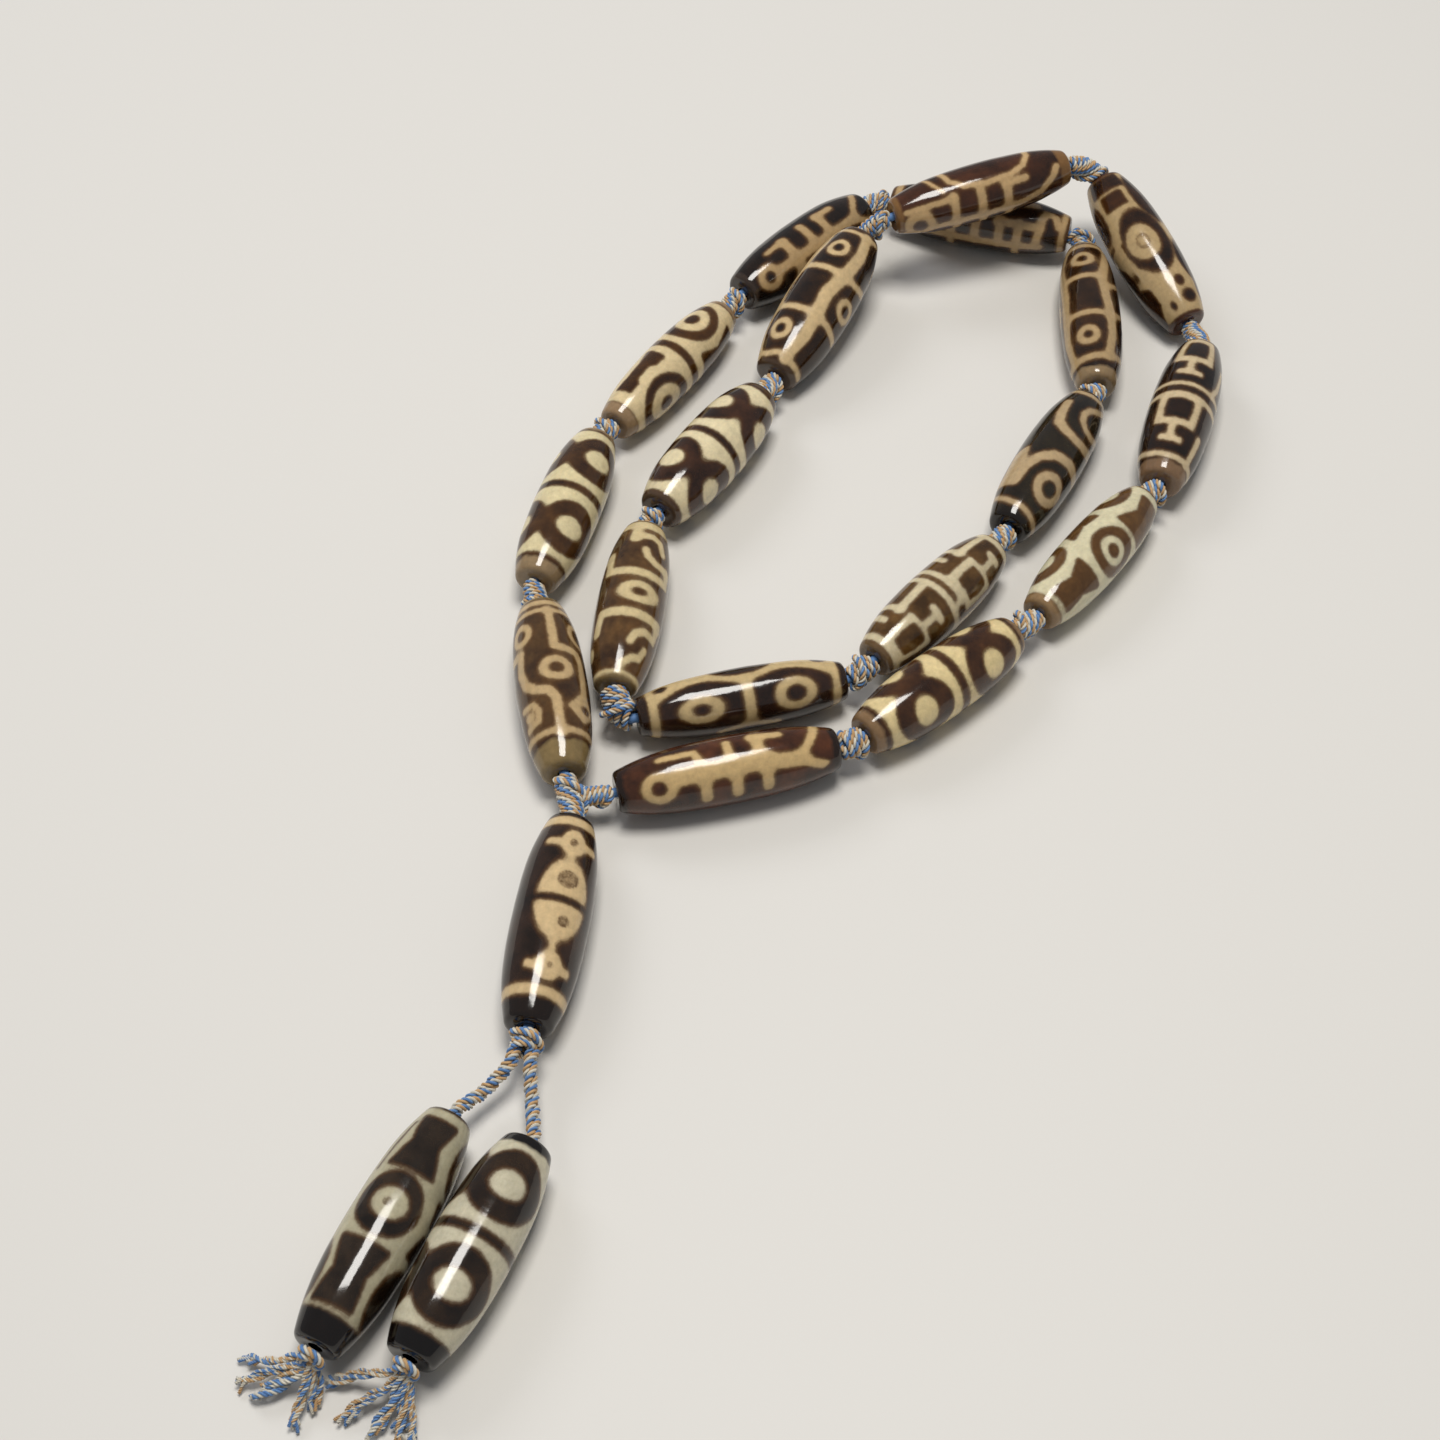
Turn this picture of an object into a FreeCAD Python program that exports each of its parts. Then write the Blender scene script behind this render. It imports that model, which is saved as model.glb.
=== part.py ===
import FreeCAD, Part
import math
import os

# Necklace of large barrel beads of etched agate on a knotted three-ply cord, lying wound double.
# Millimetres, +Z up, the table is z = 0. The necklace's length runs along Y, the drops towards -Y.

# Driving dimensions
BORE = 2.3
CORD_BORE = 2.8
THREAD = 1.7
DROP_CORD = 2.2
EDGE_ROUNDING = 1.2
CROWN_SHARE = 0.45
CROWN_DROP = 0.05
END_RATIO = 0.66
KNOT_CLEARANCE = 0.2
THREAD_CLEARANCE = 0.2
THREAD_LEAD_SHARE = 0.25
KNOT_REACH = 3.0
CORNER_TURN = 50.0
KNOT_HALF_LENGTH_MOST = 3.7
KNOT_TURNS = 3
KNOT_OVERHANG = 1.22
GROOVE_RATIO = 0.88
BEND_SHARE = 0.45

# Loop beads in string order from the junction: place of the centre on the table, heading of the
# string, length, largest diameter, how far each end's axis is raised above lying flat, and the
# diameter of the knot that follows the bead.
LOOP_BEADS = [
    # x, y, heading, length, diameter, start_lift, end_lift, knot
    (-16.2, -24.4, 14.7, 40.1, 12.2, 0.0, 0.0, 6.3),
    (22.0, -4.7, 40.9, 37.1, 12.8, 0.0, 0.0, 5.6),
    (52.8, 27.7, 53.0, 38.0, 12.1, 0.0, 0.0, 5.6),
    (74.4, 65.7, 71.2, 40.9, 13.4, 0.0, 0.0, 5.2),
    (72.4, 113.5, 113.0, 39.9, 13.4, -1.7, 7.3, 5.4),
    (37.0, 122.6, -160.3, 40.1, 12.1, 13.8, 10.7, 5.2),
    (2.4, 95.9, -117.6, 40.4, 14.5, 5.2, -2.1, 5.4),
    (-19.8, 54.0, -121.3, 37.7, 14.0, 0.0, 0.0, 5.4),
    (-34.2, 13.1, -96.5, 39.5, 12.9, 0.0, 0.0, 6.6),
    (-13.7, -7.8, 13.7, 38.6, 11.4, 0.0, 0.0, 5.8),
    (22.2, 15.1, 50.0, 36.7, 12.5, 0.0, 0.0, 5.4),
    (46.6, 51.8, 62.1, 40.0, 13.0, 0.0, 0.0, 5.6),
    (59.4, 95.6, 87.7, 42.5, 12.8, 0.0, 0.0, 5.2),
    (38.6, 128.9, 164.5, 39.8, 12.6, 0.0, 0.0, 5.6),
    (-0.4, 117.1, -132.4, 38.7, 13.2, 0.0, 0.0, 5.4),
    (-28.2, 80.0, -122.4, 40.4, 11.9, 0.0, 0.0, 5.6),
    (-47.3, 38.6, -104.7, 39.7, 13.2, 0.0, 0.0, 5.2),
    (-47.7, -6.7, -80.7, 39.3, 13.2, 0.0, 0.0, 0.0),
]

# Pendant and drop beads, with the same columns as far as the diameter
PENDANT_BEAD = (-45.3, -57.0, -97.0, 41.0, 13.2, 0.0, 0.0)
DROP_BEAD_LEFT = (-67.1, -112.0, -113.8, 40.8, 12.6, 0.0, 0.0)
DROP_BEAD_RIGHT = (-53.9, -115.2, -113.9, 37.6, 13.2, 0.0, 0.0)

# Junction and pendant knots, and how deep the threads reach into them
JUNCTION_DIAMETER = 5.4
BRANCH_DIAMETER = 4.2
PENDANT_KNOT_DIAMETER = 5.8
PENDANT_KNOT_LENGTH = 4.6
THREAD_SEAT = 1.8

# Drop cords: how far apart and how deep they sit in the pendant knot, the straight stretch at
# each end, and how far the middle hangs below the line between them
DROP_CORD_SPREAD = 1.45
DROP_CORD_SEAT = 1.2
DROP_LEAD = 1.5
DROP_CORD_SAG = 1.6

# Tassels: the head against the bead, and the strands by place of three points on the table
HEAD_DIAMETER = 4.4
HEAD_LENGTH = 3.0
STRAND_REST = 0.35
# strand width, then x, y and height of the point in front of the head and of the bend, and the
# x and y of the tip, which lies on the table
LEFT_STRANDS = [
    (1.5, -78.4, -131.2, 5.0, -81.6, -130.9, 3.2, -85.9, -129.8),
    (1.5, -78.2, -132.3, 4.2, -81.6, -132.6, 2.4, -86.4, -133.6),
    (2.1, -77.6, -133.3, 3.8, -80.2, -134.3, 2.2, -83.9, -136.0),
    (1.6, -75.3, -133.2, 4.2, -74.7, -134.6, 2.3, -75.2, -136.6),
    (1.6, -76.4, -134.4, 3.6, -76.8, -136.8, 1.7, -77.8, -139.6),
]
RIGHT_STRANDS = [
    (1.4, -64.7, -133.8, 5.0, -68.8, -133.4, 3.0, -73.4, -133.9),
    (1.5, -64.2, -135.2, 4.2, -67.6, -136.2, 2.2, -71.0, -138.8),
    (1.9, -63.2, -136.2, 4.0, -64.6, -138.2, 2.2, -66.6, -141.4),
    (1.5, -62.1, -136.4, 3.8, -62.4, -138.6, 1.9, -62.7, -141.6),
    (1.5, -61.2, -135.9, 4.2, -60.8, -138.2, 2.4, -60.8, -141.6),
]


def direction(heading, tilt=0.0):
    a = math.radians(heading)
    b = math.radians(tilt)
    return FreeCAD.Vector(math.cos(b) * math.cos(a), math.cos(b) * math.sin(a), math.sin(b))


def place_along(shape, centre, axis):
    """Turns a shape made along +X so that it runs along the axis through the centre."""
    turn = FreeCAD.Rotation(FreeCAD.Vector(1, 0, 0), axis)
    shape.Placement = FreeCAD.Placement(centre, turn)
    return shape


class Lay:
    """Where a bead lies: its centre, the direction of its axis and its two ends."""

    def __init__(self, row):
        x, y, heading, self.length, self.diameter, start_lift, end_lift = row[:7]
        tilt = math.degrees(math.asin((end_lift - start_lift) / self.length))
        height = self.diameter / 2 + (start_lift + end_lift) / 2
        self.centre = FreeCAD.Vector(x, y, height)
        self.axis = direction(heading, tilt)
        self.start = self.centre - self.axis * (self.length / 2)
        self.end = self.centre + self.axis * (self.length / 2)


def barrel(length, diameter, bore):
    """A drilled barrel bead along X: a shallow crown, two tapering ends and rounded rims."""
    half = length / 2
    radius = diameter / 2
    crown_end = CROWN_SHARE * half
    drop = CROWN_DROP * radius
    crown_radius = crown_end ** 2 / (2 * drop)
    slope = math.asin(crown_end / crown_radius)
    crown_edge = radius - crown_radius * (1 - math.cos(slope))
    run = half - EDGE_ROUNDING - crown_end
    fall = crown_edge - END_RATIO * radius - run * math.tan(slope)
    taper_radius = run ** 2 / (2 * fall)
    taper_x = crown_end - taper_radius * math.sin(slope)
    taper_y = crown_edge - taper_radius * math.cos(slope)
    turn = math.asin((half - EDGE_ROUNDING - taper_x) / (taper_radius - EDGE_ROUNDING))

    def on_taper(angle):
        return (taper_x + taper_radius * math.sin(angle), taper_y + taper_radius * math.cos(angle))

    rim_x = half - EDGE_ROUNDING
    rim_y = taper_y + (taper_radius - EDGE_ROUNDING) * math.cos(turn)
    middle = (turn + math.pi / 2) / 2
    rim_middle = (rim_x + EDGE_ROUNDING * math.sin(middle), rim_y + EDGE_ROUNDING * math.cos(middle))

    def point(pair, side):
        return FreeCAD.Vector(side * pair[0], pair[1], 0)

    edges = [Part.Arc(point((crown_end, crown_edge), -1), FreeCAD.Vector(0, radius, 0),
                      point((crown_end, crown_edge), 1)).toShape()]
    for side in (-1, 1):
        shoulder = point(on_taper(turn), side)
        face_edge = point((half, rim_y), side)
        bore_edge = point((half, bore / 2), side)
        taper_middle = point(on_taper((slope + turn) / 2), side)
        taper = Part.Arc(point((crown_end, crown_edge), side), taper_middle, shoulder)
        rim = Part.Arc(shoulder, point(rim_middle, side), face_edge)
        edges += [taper.toShape(), rim.toShape(), Part.LineSegment(face_edge, bore_edge).toShape()]
    edges.append(Part.LineSegment(point((half, bore / 2), -1), point((half, bore / 2), 1)).toShape())
    outline = Part.Wire(Part.__sortEdges__(edges))
    return Part.Face(outline).revolve(FreeCAD.Vector(0, 0, 0), FreeCAD.Vector(1, 0, 0), 360)


def bead(lay, bore):
    return place_along(barrel(lay.length, lay.diameter, bore), lay.centre, lay.axis)


def route_wire(points):
    """Straight runs joined by tangent arcs, each arc as large as its two runs allow."""
    edges = []
    last = points[0]
    for before, corner, after in zip(points, points[1:], points[2:]):
        to_before = before - corner
        to_after = after - corner
        turn = math.pi - to_before.getAngle(to_after)
        reach = BEND_SHARE * min(to_before.Length, to_after.Length)
        radius = reach / math.tan(turn / 2)
        enter = corner + FreeCAD.Vector(to_before).normalize() * reach
        leave = corner + FreeCAD.Vector(to_after).normalize() * reach
        inward = (FreeCAD.Vector(to_before).normalize() + FreeCAD.Vector(to_after).normalize()).normalize()
        middle = corner + inward * (radius / math.cos(turn / 2) - radius)
        edges.append(Part.LineSegment(last, enter).toShape())
        edges.append(Part.Arc(enter, middle, leave).toShape())
        last = leave
    edges.append(Part.LineSegment(last, points[-1]).toShape())
    return Part.Wire(edges)


def round_cord(points, diameter):
    """A round solid along a route, checked by its section times its length."""
    path = route_wire(points)
    start = points[0]
    circle = Part.Wire([Part.Circle(start, points[1] - points[0], diameter / 2).toShape()])
    solid = path.makePipeShell([circle], True, False)
    expected = math.pi * diameter ** 2 / 4 * path.Length
    if abs(solid.Volume - expected) > 0.01 * expected:
        print("route volume differs:", round(solid.Volume, 1), round(expected, 1))
    return solid


def knot_barrel(half, diameter):
    """Turns of cord round the string, along X: a rounded outline with a groove between turns."""
    radius = diameter / 2
    reach = half * KNOT_OVERHANG

    def outline(x):
        return radius * math.sqrt(1 - (x / reach) ** 2)

    edges = []
    last = FreeCAD.Vector(-half, 0, 0)
    first_rim = FreeCAD.Vector(-half, GROOVE_RATIO * outline(half), 0)
    edges.append(Part.LineSegment(last, first_rim).toShape())
    last = first_rim
    for turn in range(KNOT_TURNS):
        x_middle = -half + (turn + 0.5) * 2 * half / KNOT_TURNS
        x_end = -half + (turn + 1) * 2 * half / KNOT_TURNS
        crest = FreeCAD.Vector(x_middle, outline(x_middle), 0)
        valley = FreeCAD.Vector(x_end, GROOVE_RATIO * outline(x_end), 0)
        edges.append(Part.Arc(last, crest, valley).toShape())
        last = valley
    edges.append(Part.LineSegment(last, FreeCAD.Vector(half, 0, 0)).toShape())
    edges.append(Part.LineSegment(FreeCAD.Vector(half, 0, 0), FreeCAD.Vector(-half, 0, 0)).toShape())
    return Part.Face(Part.Wire(edges)).revolve(FreeCAD.Vector(0, 0, 0), FreeCAD.Vector(1, 0, 0), 360)


def beyond(face_point, outward, size=30.0):
    """A block that fills the bead's side of an end face, with the knot's clearance in front."""
    block = Part.makeBox(size, size, size, FreeCAD.Vector(-size, -size / 2, -size / 2))
    return place_along(block, face_point + outward * KNOT_CLEARANCE, outward)


def knot_centre(end, end_axis, start, start_axis):
    """Halfway between two bead ends, moved out of a sharp corner until both faces are clear."""
    centre = (end + start) * 0.5
    turn = end_axis.getAngle(start_axis)
    nearest = min((centre - end).dot(end_axis), (start - centre).dot(start_axis))
    if nearest >= KNOT_REACH or turn < math.radians(CORNER_TURN):
        return centre, False
    outward = (end_axis - start_axis).normalize()
    return centre + outward * ((KNOT_REACH - nearest) / math.sin(turn / 2)), True


def knot_between(before, after, diameter):
    """The knot and the thread's corner points between two loop beads."""
    centre, corner = knot_centre(before.end, before.axis, after.start, after.axis)
    lead = THREAD_LEAD_SHARE * (after.start - before.end).Length
    leave = before.end + before.axis * lead
    enter = after.start - after.axis * lead
    points = [leave, centre, enter] if corner else [leave, enter]
    axis = (enter - leave).normalize()
    room = (centre - before.end).Length + KNOT_CLEARANCE
    half = min(room, KNOT_HALF_LENGTH_MOST)
    knot = place_along(knot_barrel(half, diameter), centre, axis)
    knot = knot.cut(beyond(before.end, before.axis))
    knot = knot.cut(beyond(after.start, after.axis * -1))
    hole = round_cord([before.centre] + points + [after.centre], THREAD + 2 * THREAD_CLEARANCE)
    return knot.cut(hole), points


def main():
    solids = {}
    loop = [Lay(row) for row in LOOP_BEADS]
    pendant = Lay(PENDANT_BEAD)
    drop_left = Lay(DROP_BEAD_LEFT)
    drop_right = Lay(DROP_BEAD_RIGHT)

    for number, lay in enumerate(loop, 1):
        solids["bead_%02d" % number] = bead(lay, BORE)
    solids["pendant_bead"] = bead(pendant, BORE)
    solids["drop_bead_left"] = bead(drop_left, CORD_BORE)
    solids["drop_bead_right"] = bead(drop_right, CORD_BORE)

    # Knots between loop beads, and the thread that runs through beads and knots
    thread_points = [loop[0].start - loop[0].axis * THREAD_SEAT]
    for number in range(1, len(loop)):
        before = loop[number - 1]
        knot, points = knot_between(before, loop[number], LOOP_BEADS[number - 1][7])
        solids["knot_%02d" % number] = knot
        thread_points += points
    thread_points.append(loop[-1].end + loop[-1].axis * THREAD_SEAT)
    solids["loop_thread"] = round_cord(thread_points, THREAD)
    solids["pendant_thread"] = round_cord([pendant.start - pendant.axis * THREAD_SEAT,
                                           pendant.end + pendant.axis * THREAD_SEAT], THREAD)

    # Junction knot: one barrel from the last bead to the pendant, one branch to the first bead
    last = loop[-1]
    first = loop[0]
    trunk_axis = (pendant.start - last.end).normalize()
    trunk_middle = (pendant.start + last.end) * 0.5
    trunk_half = (pendant.start - last.end).Length / 2
    junction = place_along(knot_barrel(trunk_half, JUNCTION_DIAMETER), trunk_middle, trunk_axis)
    branch_length = (first.start - trunk_middle).Length
    branch_middle = first.start - first.axis * (branch_length / 2)
    branch = place_along(knot_barrel(branch_length / 2, BRANCH_DIAMETER), branch_middle, first.axis)
    junction = junction.fuse(branch)
    for face_point, outward in ((last.end, last.axis), (pendant.start, pendant.axis * -1),
                                (first.start, first.axis * -1)):
        junction = junction.cut(beyond(face_point, outward))
        hole_depth = THREAD_SEAT + THREAD_CLEARANCE
        hole = Part.makeCylinder(THREAD / 2 + THREAD_CLEARANCE, hole_depth + 1, face_point - outward, outward)
        junction = junction.cut(hole)
    solids["junction_knot"] = junction

    # Pendant knot and the two drop cords that leave it
    knot_middle = pendant.end + pendant.axis * (PENDANT_KNOT_LENGTH / 2 + KNOT_CLEARANCE)
    pendant_knot = knot_barrel(PENDANT_KNOT_LENGTH / 2, PENDANT_KNOT_DIAMETER)
    pendant_knot = place_along(pendant_knot, knot_middle, pendant.axis)
    hole = Part.makeCylinder(THREAD / 2 + THREAD_CLEARANCE, THREAD_SEAT + THREAD_CLEARANCE + 1,
                             pendant.end - pendant.axis, pendant.axis)
    pendant_knot = pendant_knot.cut(hole)
    sideways = FreeCAD.Vector(0, 0, 1).cross(pendant.axis)
    knot_end = knot_middle + pendant.axis * (PENDANT_KNOT_LENGTH / 2)
    for side, lay, name in ((-1, drop_left, "left"), (1, drop_right, "right")):
        exit_point = knot_end + sideways * (side * DROP_CORD_SPREAD)
        seat = exit_point - pendant.axis * DROP_CORD_SEAT
        clear = exit_point + pendant.axis * DROP_LEAD
        lead_in = lay.start - lay.axis * DROP_LEAD
        middle = (clear + lead_in) * 0.5 - FreeCAD.Vector(0, 0, DROP_CORD_SAG)
        far = lay.end + lay.axis * THREAD_SEAT
        route = [seat, clear, middle, lead_in, far]
        solids["drop_cord_" + name] = round_cord(route, DROP_CORD)
        pocket = round_cord([seat - pendant.axis * THREAD_CLEARANCE, clear, middle, lead_in, far],
                            DROP_CORD + 2 * THREAD_CLEARANCE)
        pendant_knot = pendant_knot.cut(pocket)
    solids["pendant_knot"] = pendant_knot

    # Tassels: the end knot under each drop bead, with the cord's strands spread on the table
    for name, lay, strands in (("left", drop_left, LEFT_STRANDS), ("right", drop_right, RIGHT_STRANDS)):
        head_middle = lay.end + lay.axis * (KNOT_CLEARANCE + HEAD_LENGTH / 2)
        tassel = place_along(knot_barrel(HEAD_LENGTH / 2, HEAD_DIAMETER), head_middle, lay.axis)
        for width, near_x, near_y, near_z, bend_x, bend_y, bend_z, tip_x, tip_y in strands:
            near = FreeCAD.Vector(near_x, near_y, near_z)
            bend = FreeCAD.Vector(bend_x, bend_y, bend_z)
            tip = FreeCAD.Vector(tip_x, tip_y, width / 2 + STRAND_REST)
            tassel = tassel.fuse(round_cord([head_middle, near, bend, tip], width))
        hole_depth = THREAD_SEAT + THREAD_CLEARANCE
        hole = Part.makeCylinder(DROP_CORD / 2 + THREAD_CLEARANCE, hole_depth + 1, lay.end - lay.axis, lay.axis)
        solids["tassel_" + name] = tassel.cut(hole)

    # The origin is the middle of the necklace's footprint, at the height of the table
    box = FreeCAD.BoundBox()
    for shape in solids.values():
        box.add(shape.BoundBox)
    shift = FreeCAD.Vector(-box.Center.x, -box.Center.y, 0)
    print("footprint", round(box.XLength, 2), round(box.YLength, 2), "height", round(box.ZMax, 2),
          "lowest", round(box.ZMin, 3), "shift", round(shift.x, 2), round(shift.y, 2))
    os.makedirs("parts", exist_ok=True)
    for name, shape in solids.items():
        shape.translate(shift)
        pieces = shape.Solids
        if len(pieces) != 1 or not shape.isValid():
            print("look at", name, len(pieces), "solids, valid", shape.isValid())
        pieces[0].exportStep("parts/%s.step" % name)


main()
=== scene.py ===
import math
import random
import bpy
import numpy as np
from mathutils import Matrix, Vector


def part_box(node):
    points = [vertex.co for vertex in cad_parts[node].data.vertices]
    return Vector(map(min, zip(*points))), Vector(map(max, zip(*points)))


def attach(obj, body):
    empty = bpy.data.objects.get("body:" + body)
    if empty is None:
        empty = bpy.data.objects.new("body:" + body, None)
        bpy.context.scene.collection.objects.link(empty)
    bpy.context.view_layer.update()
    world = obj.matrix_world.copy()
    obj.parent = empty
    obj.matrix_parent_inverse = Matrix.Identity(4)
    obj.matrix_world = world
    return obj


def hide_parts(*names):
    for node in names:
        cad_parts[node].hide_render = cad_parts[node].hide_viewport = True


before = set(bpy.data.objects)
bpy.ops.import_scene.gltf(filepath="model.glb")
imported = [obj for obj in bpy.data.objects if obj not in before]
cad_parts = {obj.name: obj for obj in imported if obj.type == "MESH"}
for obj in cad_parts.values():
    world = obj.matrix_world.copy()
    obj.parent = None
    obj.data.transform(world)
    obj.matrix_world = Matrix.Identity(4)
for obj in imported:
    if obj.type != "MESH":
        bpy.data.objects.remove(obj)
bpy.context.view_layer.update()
bpy.ops.object.select_all(action="DESELECT")

# Table and studio
# The necklace lies on a pale matt board under one soft box overhead; a weaker one behind on the
# left fills in. The camera looks down at it from in front, at the photograph's angle and distance.
MM = 0.001


def colour(code):
    """An sRGB hex value as a linear colour."""
    parts = [int(code[i:i + 2], 16) / 255 for i in (1, 3, 5)]
    return tuple(c / 12.92 if c <= 0.04045 else ((c + 0.055) / 1.055) ** 2.4 for c in parts) + (1.0,)


def add_node(tree, kind, inputs, **settings):
    """One node with its settings; an input's value is a number, a colour or another node's socket."""
    made = tree.nodes.new(kind)
    for name, value in settings.items():
        setattr(made, name, value)
    for name, value in inputs.items():
        if isinstance(value, bpy.types.NodeSocket):
            tree.links.new(value, made.inputs[name])
        else:
            made.inputs[name].default_value = value
    return made


def new_material(name):
    """A material with nothing in it but its output, and its node tree."""
    material = bpy.data.materials.new(name)
    material.use_nodes = True
    tree = material.node_tree
    tree.nodes.clear()
    return material, tree, tree.nodes.new("ShaderNodeOutputMaterial")


CAMERA_PLACE = (-16.69 * MM, -259.09 * MM, 309.0 * MM)
CAMERA_DOWN = 50.7
CAMERA_ROLL = 0.35
LENS = 55.0
BOARD_SIZE = 6.0

camera_data = bpy.data.cameras.new("camera")
camera_data.lens = LENS
camera_data.sensor_width = 36.0
camera_data.clip_start = 0.01
camera = bpy.data.objects.new("camera", camera_data)
bpy.context.collection.objects.link(camera)
tip_down = Matrix.Rotation(math.radians(90 - CAMERA_DOWN), 4, "X")
roll = Matrix.Rotation(math.radians(CAMERA_ROLL), 4, "Z")
camera.matrix_world = Matrix.Translation(CAMERA_PLACE) @ (tip_down @ roll)
bpy.context.scene.camera = camera

bpy.ops.mesh.primitive_plane_add(size=BOARD_SIZE, location=(0, 0, 0))
board = bpy.context.object
board.name = "board"
# Matt laminated board: pale, with a faint grain that only breaks up the reflections.
board_material, tree, output = new_material("matt_laminate")
place = add_node(tree, "ShaderNodeTexCoord", {}).outputs["Object"]
grain = add_node(tree, "ShaderNodeTexNoise", {"Vector": place, "Scale": 900.0, "Detail": 2.0})
relief = add_node(tree, "ShaderNodeBump", {
    "Height": grain.outputs["Fac"], "Strength": 0.05, "Distance": 0.0002})
shader = add_node(tree, "ShaderNodeBsdfPrincipled", {
    "Base Color": colour("#d9d6d0"), "Roughness": 0.55, "Normal": relief.outputs["Normal"]})
tree.links.new(shader.outputs["BSDF"], output.inputs["Surface"])
board.data.materials.append(board_material)


def soft_box(name, place, target, width, depth, power, tint, reflects=True):
    """An area light aimed at a point; one that doesn't reflect leaves no highlight on the stones."""
    data = bpy.data.lights.new(name, "AREA")
    data.shape = "RECTANGLE"
    data.size = width
    data.size_y = depth
    data.energy = power
    data.color = colour(tint)[:3]
    light = bpy.data.objects.new(name, data)
    bpy.context.collection.objects.link(light)
    light.visible_glossy = reflects
    aim = Vector(target) - Vector(place)
    light.matrix_world = Matrix.Translation(place) @ aim.to_track_quat("-Z", "Y").to_matrix().to_4x4()


soft_box("overhead_box", (0.02, 0.10, 1.1), (0, 0.03, 0), 0.42, 0.42, 9.2, "#fffcf7")
soft_box("back_box", (-0.75, 0.85, 0.9), (0, 0, 0), 0.7, 0.5, 5.0, "#f4f7ff", reflects=False)
world = bpy.data.worlds.new("studio")
world.use_nodes = True
world.node_tree.nodes["Background"].inputs["Color"].default_value = colour("#e8ebf0")
world.node_tree.nodes["Background"].inputs["Strength"].default_value = 0.30
bpy.context.scene.world = world
bpy.context.scene.view_settings.view_transform = "Standard"

# Beads
# Barrels of agate, turned, drilled along the axis and polished. The pale figure is drawn on the
# stone in alkali and burnt in, so its edges are soft and fringed with brown where the stain crept.
CROWN_SHARE = 0.45
CROWN_DROP = 0.05
END_RATIO = 0.66
RIM_ROUNDING = 1.2
BORE = 2.3
MASTER_LENGTH = 40.0
MASTER_DIAMETER = 13.0
RING_STEP = 0.4
RIM_STEPS = 4
SIDES = 88
BORE_CHAMFER = 0.15
SHARP_ANGLE = 50
STONE_STEP = 57.0
POLISH_WAVE = 9.0 * MM
POLISH_DEPTH = 0.15 * MM


def bead_outline(length, diameter):
    """Radius against place along the axis of half a bead: crown, taper, rounded rim and end face."""
    half = length / 2
    radius = diameter / 2
    crown_end = CROWN_SHARE * half
    drop = CROWN_DROP * radius
    crown_radius = crown_end ** 2 / (2 * drop)
    slope = math.asin(crown_end / crown_radius)
    crown_edge = radius - crown_radius * (1 - math.cos(slope))
    run = half - RIM_ROUNDING - crown_end
    fall = crown_edge - END_RATIO * radius - run * math.tan(slope)
    taper_radius = run ** 2 / (2 * fall)
    taper_x = crown_end - taper_radius * math.sin(slope)
    taper_y = crown_edge - taper_radius * math.cos(slope)
    turn = math.asin((half - RIM_ROUNDING - taper_x) / (taper_radius - RIM_ROUNDING))
    shoulder = taper_x + taper_radius * math.sin(turn)
    points = []
    steps = round(shoulder / RING_STEP)
    for step in range(steps + 1):
        x = shoulder * step / steps
        if x < crown_end:
            points.append((x, radius - crown_radius + math.sqrt(crown_radius ** 2 - x ** 2)))
        else:
            points.append((x, taper_y + math.sqrt(taper_radius ** 2 - (x - taper_x) ** 2)))
    rim_x = half - RIM_ROUNDING
    rim_y = taper_y + (taper_radius - RIM_ROUNDING) * math.cos(turn)
    for step in range(1, RIM_STEPS + 1):
        angle = turn + (math.pi / 2 - turn) * step / RIM_STEPS
        points.append((rim_x + RIM_ROUNDING * math.sin(angle), rim_y + RIM_ROUNDING * math.cos(angle)))
    points.append((half, (rim_y + BORE / 2) / 2))
    points.append((half - BORE_CHAMFER, BORE / 2))
    return points


def turned_master():
    """The master bead along X: its outline drawn point by point, then spun round the axis."""
    right = bead_outline(MASTER_LENGTH, MASTER_DIAMETER)
    outline = [(-x, y) for x, y in reversed(right[1:])] + right
    bpy.ops.mesh.primitive_plane_add(size=MM)
    master = bpy.context.object
    bpy.ops.object.mode_set(mode="EDIT")
    bpy.ops.mesh.select_all(action="SELECT")
    bpy.ops.mesh.merge(type="CENTER")
    x, y = outline[0]
    bpy.ops.transform.translate(value=(x * MM, 0, y * MM))
    for (x0, y0), (x1, y1) in zip(outline, outline[1:]):
        step = ((x1 - x0) * MM, 0, (y1 - y0) * MM)
        bpy.ops.mesh.extrude_region_move(TRANSFORM_OT_translate={"value": step})
    bpy.ops.mesh.select_all(action="SELECT")
    bpy.ops.mesh.spin(steps=SIDES, angle=2 * math.pi, center=(0, 0, 0), axis=(1, 0, 0))
    bpy.ops.mesh.select_all(action="SELECT")
    bpy.ops.mesh.remove_doubles(threshold=0.01 * MM)
    # the bore: its two end rings are the open edges left
    bpy.ops.mesh.select_all(action="DESELECT")
    bpy.ops.mesh.select_non_manifold()
    bpy.ops.mesh.bridge_edge_loops()
    bpy.ops.mesh.select_all(action="SELECT")
    bpy.ops.mesh.normals_make_consistent(inside=False)
    bpy.ops.object.mode_set(mode="OBJECT")
    bpy.ops.object.shade_smooth_by_angle(angle=math.radians(SHARP_ANGLE))
    master.select_set(False)
    return master


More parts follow.
